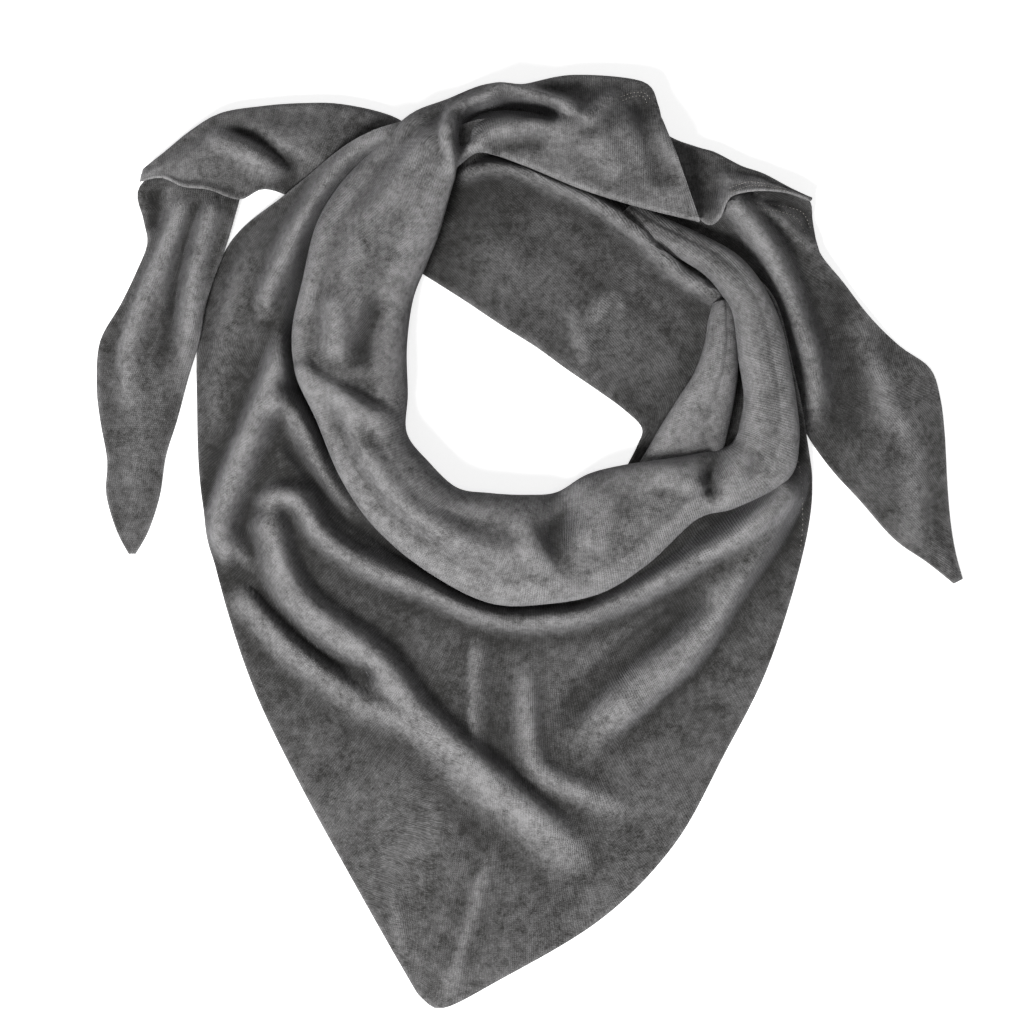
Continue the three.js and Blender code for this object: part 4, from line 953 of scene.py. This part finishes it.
def knit_material(sizes, colours):
    """Brushed fine-gauge knit in mixed grey yarn, with painted shade in rib grooves and fold valleys and
    painted light on crests and hem rims.
    """
    material, tree, shader = new_material("knit")
    ribs = add_node(tree, "ShaderNodeUVMap", uv_map=RIB_MAP).outputs[0]
    spread = add_node(tree, "ShaderNodeAttribute", attribute_name=SPREAD).outputs["Fac"]
    place_on = tree.nodes.new("ShaderNodeTexCoord").outputs["Object"]
    knit = use_group(tree, "Knit ribs", {"Ribs": ribs, "Spread": spread, "Pitch": sizes.rib_pitch,
                                         "Course": sizes.course_pitch, "Fuzz": 0.7})
    crest = add_node(tree, "ShaderNodeAttribute", attribute_name=PAINTED_LIGHT_AND_SHADE).outputs["Fac"]
    yarn = use_group(tree, "Heather yarn", {"Place": place_on, "Ribs": ribs, "Crest": crest,
                                            "Cloud size": 0.028, "Blotch size": 0.009, "Tuft size": 0.004})
    base = blend_colours(tree, yarn["Shade"], tuple(colours.dark_yarn), tuple(colours.light_yarn))
    # Painted shade: valleys and rib grooves are blended towards the painted shade colour.
    valley = calc(tree, "MULTIPLY", calc(tree, "SUBTRACT", 1.0, crest), VALLEY_SHADE)
    depth = calc(tree, "MULTIPLY_ADD", knit["Groove"], GROOVE_SHADE, valley)
    colour = blend_colours(tree, depth, base, tuple(colours.painted_shade))
    tree.links.new(colour, shader.inputs["Base Color"])
    bump = add_node(tree, "ShaderNodeBump", {"Height": knit["Height"], "Strength": 0.8,
                                             "Distance": sizes.rib_depth})
    tree.links.new(bump.outputs[0], shader.inputs["Normal"])
    shader.inputs["Roughness"].default_value = 0.95
    shader.inputs["Specular IOR Level"].default_value = 0.15
    shader.inputs["Sheen Weight"].default_value = 0.25
    shader.inputs["Sheen Roughness"].default_value = 0.45
    shader.inputs["Sheen Tint"].default_value = (0.92, 0.91, 0.95, 1)
    return material


def thread_material(colours):
    """Pale fuzzy thread, a little uneven along its length."""
    material, tree, shader = new_material("hem_thread")
    place_on = tree.nodes.new("ShaderNodeTexCoord").outputs["Object"]
    uneven = speckle(tree, place_on, 900.0, 2.0)
    colour = blend_colours(tree, uneven, tuple(colours.light_yarn), tuple(colours.thread))
    tree.links.new(colour, shader.inputs["Base Color"])
    bump = add_node(tree, "ShaderNodeBump", {"Height": uneven, "Strength": 0.6, "Distance": 0.0002})
    tree.links.new(bump.outputs[0], shader.inputs["Normal"])
    shader.inputs["Roughness"].default_value = 0.85
    shader.inputs["Specular IOR Level"].default_value = 0.2
    return material


def floor_material(colours):
    """Plain matt paper for the floor, which the camera sees a little lighter than it is lit."""
    material, tree, shader = new_material("floor_paper")
    camera_ray = tree.nodes.new("ShaderNodeLightPath").outputs["Is Camera Ray"]
    seen = calc(tree, "MULTIPLY", camera_ray, FLOOR_GLOW)
    tree.links.new(seen, shader.inputs["Emission Strength"])
    shader.inputs["Emission Color"].default_value = (1, 1, 1, 1)
    shader.inputs["Base Color"].default_value = tuple(colours.floor)
    shader.inputs["Roughness"].default_value = 1.0
    shader.inputs["Specular IOR Level"].default_value = 0.0
    return material


# The add-on

class ScarfSizes(bpy.types.PropertyGroup):
    heap_height: bpy.props.FloatProperty(
        name="Heap height", description="Height of the laid scarf above the floor",
        default=0.056, unit="LENGTH")
    cloth_thickness: bpy.props.FloatProperty(
        name="Cloth thickness", description="Thickness of the knit", default=0.002, unit="LENGTH")
    facet_length: bpy.props.FloatProperty(
        name="Facet length", description="Spacing of the mesh", default=0.0031, unit="LENGTH")
    fold_relief: bpy.props.FloatProperty(
        name="Fold relief", description="How strongly the folds rise and dip", default=1.0)
    wrinkle_depth: bpy.props.FloatProperty(
        name="Wrinkle depth", description="Depth of the small uneven wrinkles", default=0.0009,
        unit="LENGTH")
    rib_pitch: bpy.props.FloatProperty(
        name="Rib pitch", description="Distance between two ribs of the knit", default=0.0015,
        unit="LENGTH")
    course_pitch: bpy.props.FloatProperty(
        name="Course pitch", description="Distance between two stitches along a rib", default=0.0013,
        unit="LENGTH")
    rib_depth: bpy.props.FloatProperty(
        name="Rib depth", description="Depth of the grooves between the ribs", default=0.0004,
        unit="LENGTH")


def colour_property(name, description, default):
    return bpy.props.FloatVectorProperty(
        name=name, description=description, default=default, size=4, subtype="COLOR", min=0, max=1)


class ScarfColours(bpy.types.PropertyGroup):
    dark_yarn: colour_property("Dark yarn", "Darkest fibres of the mixed yarn", (0.046, 0.045, 0.0425, 1))
    light_yarn: colour_property("Light yarn", "Lightest fibres of the mixed yarn", (0.345, 0.34, 0.343, 1))
    # The colour of the painted shade in the rib grooves and the fold valleys.
    painted_shade: colour_property("Groove", "Shade between the ribs", (0.022, 0.0215, 0.0205, 1))
    thread: colour_property("Thread", "Hem stitches", (0.5, 0.45, 0.39, 1))
    floor: colour_property("Floor", "Floor under the scarf", (0.9, 0.9, 0.9, 1))


class SCARF_OT_cloth(bpy.types.Operator):
    """Make the knitted cloth with all its folds"""
    bl_idname = "scarf.cloth"
    bl_label = "Cloth"

    def execute(self, context):
        sizes, colours = context.scene.scarf_sizes, context.scene.scarf_colours
        knit_group()
        heather_group()
        cloth = bpy.data.objects.new("scarf_cloth", cloth_mesh(sizes))
        context.scene.collection.objects.link(cloth)
        cloth.data.materials.append(knit_material(sizes, colours))
        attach(cloth, "root")
        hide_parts("scarf")
        return {"FINISHED"}


class SCARF_OT_stitches(bpy.types.Operator):
    """Sew the rows of hem stitches onto the cloth"""
    bl_idname = "scarf.stitches"
    bl_label = "Hem stitches"

    def execute(self, context):
        colours = context.scene.scarf_colours
        cloth = context.scene.objects["scarf_cloth"]
        context.view_layer.update()
        stitches = bpy.data.objects.new("hem_stitches", stitches_mesh(cloth))
        context.scene.collection.objects.link(stitches)
        stitches.data.materials.append(thread_material(colours))
        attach(stitches, "root")
        return {"FINISHED"}


class SCARF_OT_stage(bpy.types.Operator):
    """Make the floor, the soft lights and the camera"""
    bl_idname = "scarf.stage"
    bl_label = "Stage"

    def execute(self, context):
        scene, colours = context.scene, context.scene.scarf_colours
        mesh = bpy.data.meshes.new("floor")
        reach = FLOOR_REACH
        below = -0.0002
        mesh.from_pydata([(-reach, -reach, below), (reach, -reach, below), (reach, reach, below),
                          (-reach, reach, below)], [], [(0, 1, 2, 3)])
        floor = bpy.data.objects.new("floor", mesh)
        scene.collection.objects.link(floor)
        floor.data.materials.append(floor_material(colours))
        self.add_light(scene, "key", *KEY_LIGHT)
        self.add_light(scene, "fill", *FILL_LIGHT)
        world = bpy.data.worlds.new("studio")
        world.use_nodes = True
        world.node_tree.nodes["Background"].inputs["Color"].default_value = (1, 1, 1, 1)
        world.node_tree.nodes["Background"].inputs["Strength"].default_value = WORLD_LIGHT
        scene.world = world
        scene.view_settings.view_transform = "Standard"
        self.add_camera(scene)
        return {"FINISHED"}

    @staticmethod
    def add_light(scene, name, place_at, size, power):
        light = bpy.data.lights.new(name, "AREA")
        light.shape = "DISK"
        light.size = size
        light.energy = power
        lamp = bpy.data.objects.new(name, light)
        lamp.location = place_at
        lamp.rotation_euler = (-Vector(place_at)).to_track_quat("-Z", "Y").to_euler()
        scene.collection.objects.link(lamp)

    @staticmethod
    def add_camera(scene):
        camera = bpy.data.cameras.new("overhead")
        camera.lens = VIEW_LENS
        camera.sensor_width = VIEW_SENSOR
        view = bpy.data.objects.new("overhead", camera)
        view.location = (*VIEW_CENTRE, VIEW_FIELD * VIEW_LENS / VIEW_SENSOR + 0.02)
        scene.collection.objects.link(view)
        scene.camera = view


class SCARF_PT_panel(bpy.types.Panel):
    """Sizes, colours and pieces of the scarf"""
    bl_idname = "SCARF_PT_panel"
    bl_label = "Triangle scarf"
    bl_space_type = "VIEW_3D"
    bl_region_type = "UI"
    bl_category = "Scarf"

    def draw(self, context):
        for group in (context.scene.scarf_sizes, context.scene.scarf_colours):
            box = self.layout.box()
            for name in group.__annotations__:
                box.prop(group, name)
        for operator in OPERATORS:
            self.layout.operator(operator.bl_idname)


OPERATORS = (SCARF_OT_cloth, SCARF_OT_stitches, SCARF_OT_stage)
CLASSES = (ScarfSizes, ScarfColours, *OPERATORS, SCARF_PT_panel)


def register():
    for item in CLASSES:
        bpy.utils.register_class(item)
    bpy.types.Scene.scarf_sizes = bpy.props.PointerProperty(type=ScarfSizes)
    bpy.types.Scene.scarf_colours = bpy.props.PointerProperty(type=ScarfColours)


def unregister():
    del bpy.types.Scene.scarf_colours
    del bpy.types.Scene.scarf_sizes
    for item in reversed(CLASSES):
        bpy.utils.unregister_class(item)


def main():
    register()
    bpy.ops.scarf.cloth()
    bpy.ops.scarf.stitches()
    bpy.ops.scarf.stage()


if __name__ == "__main__":
    main()
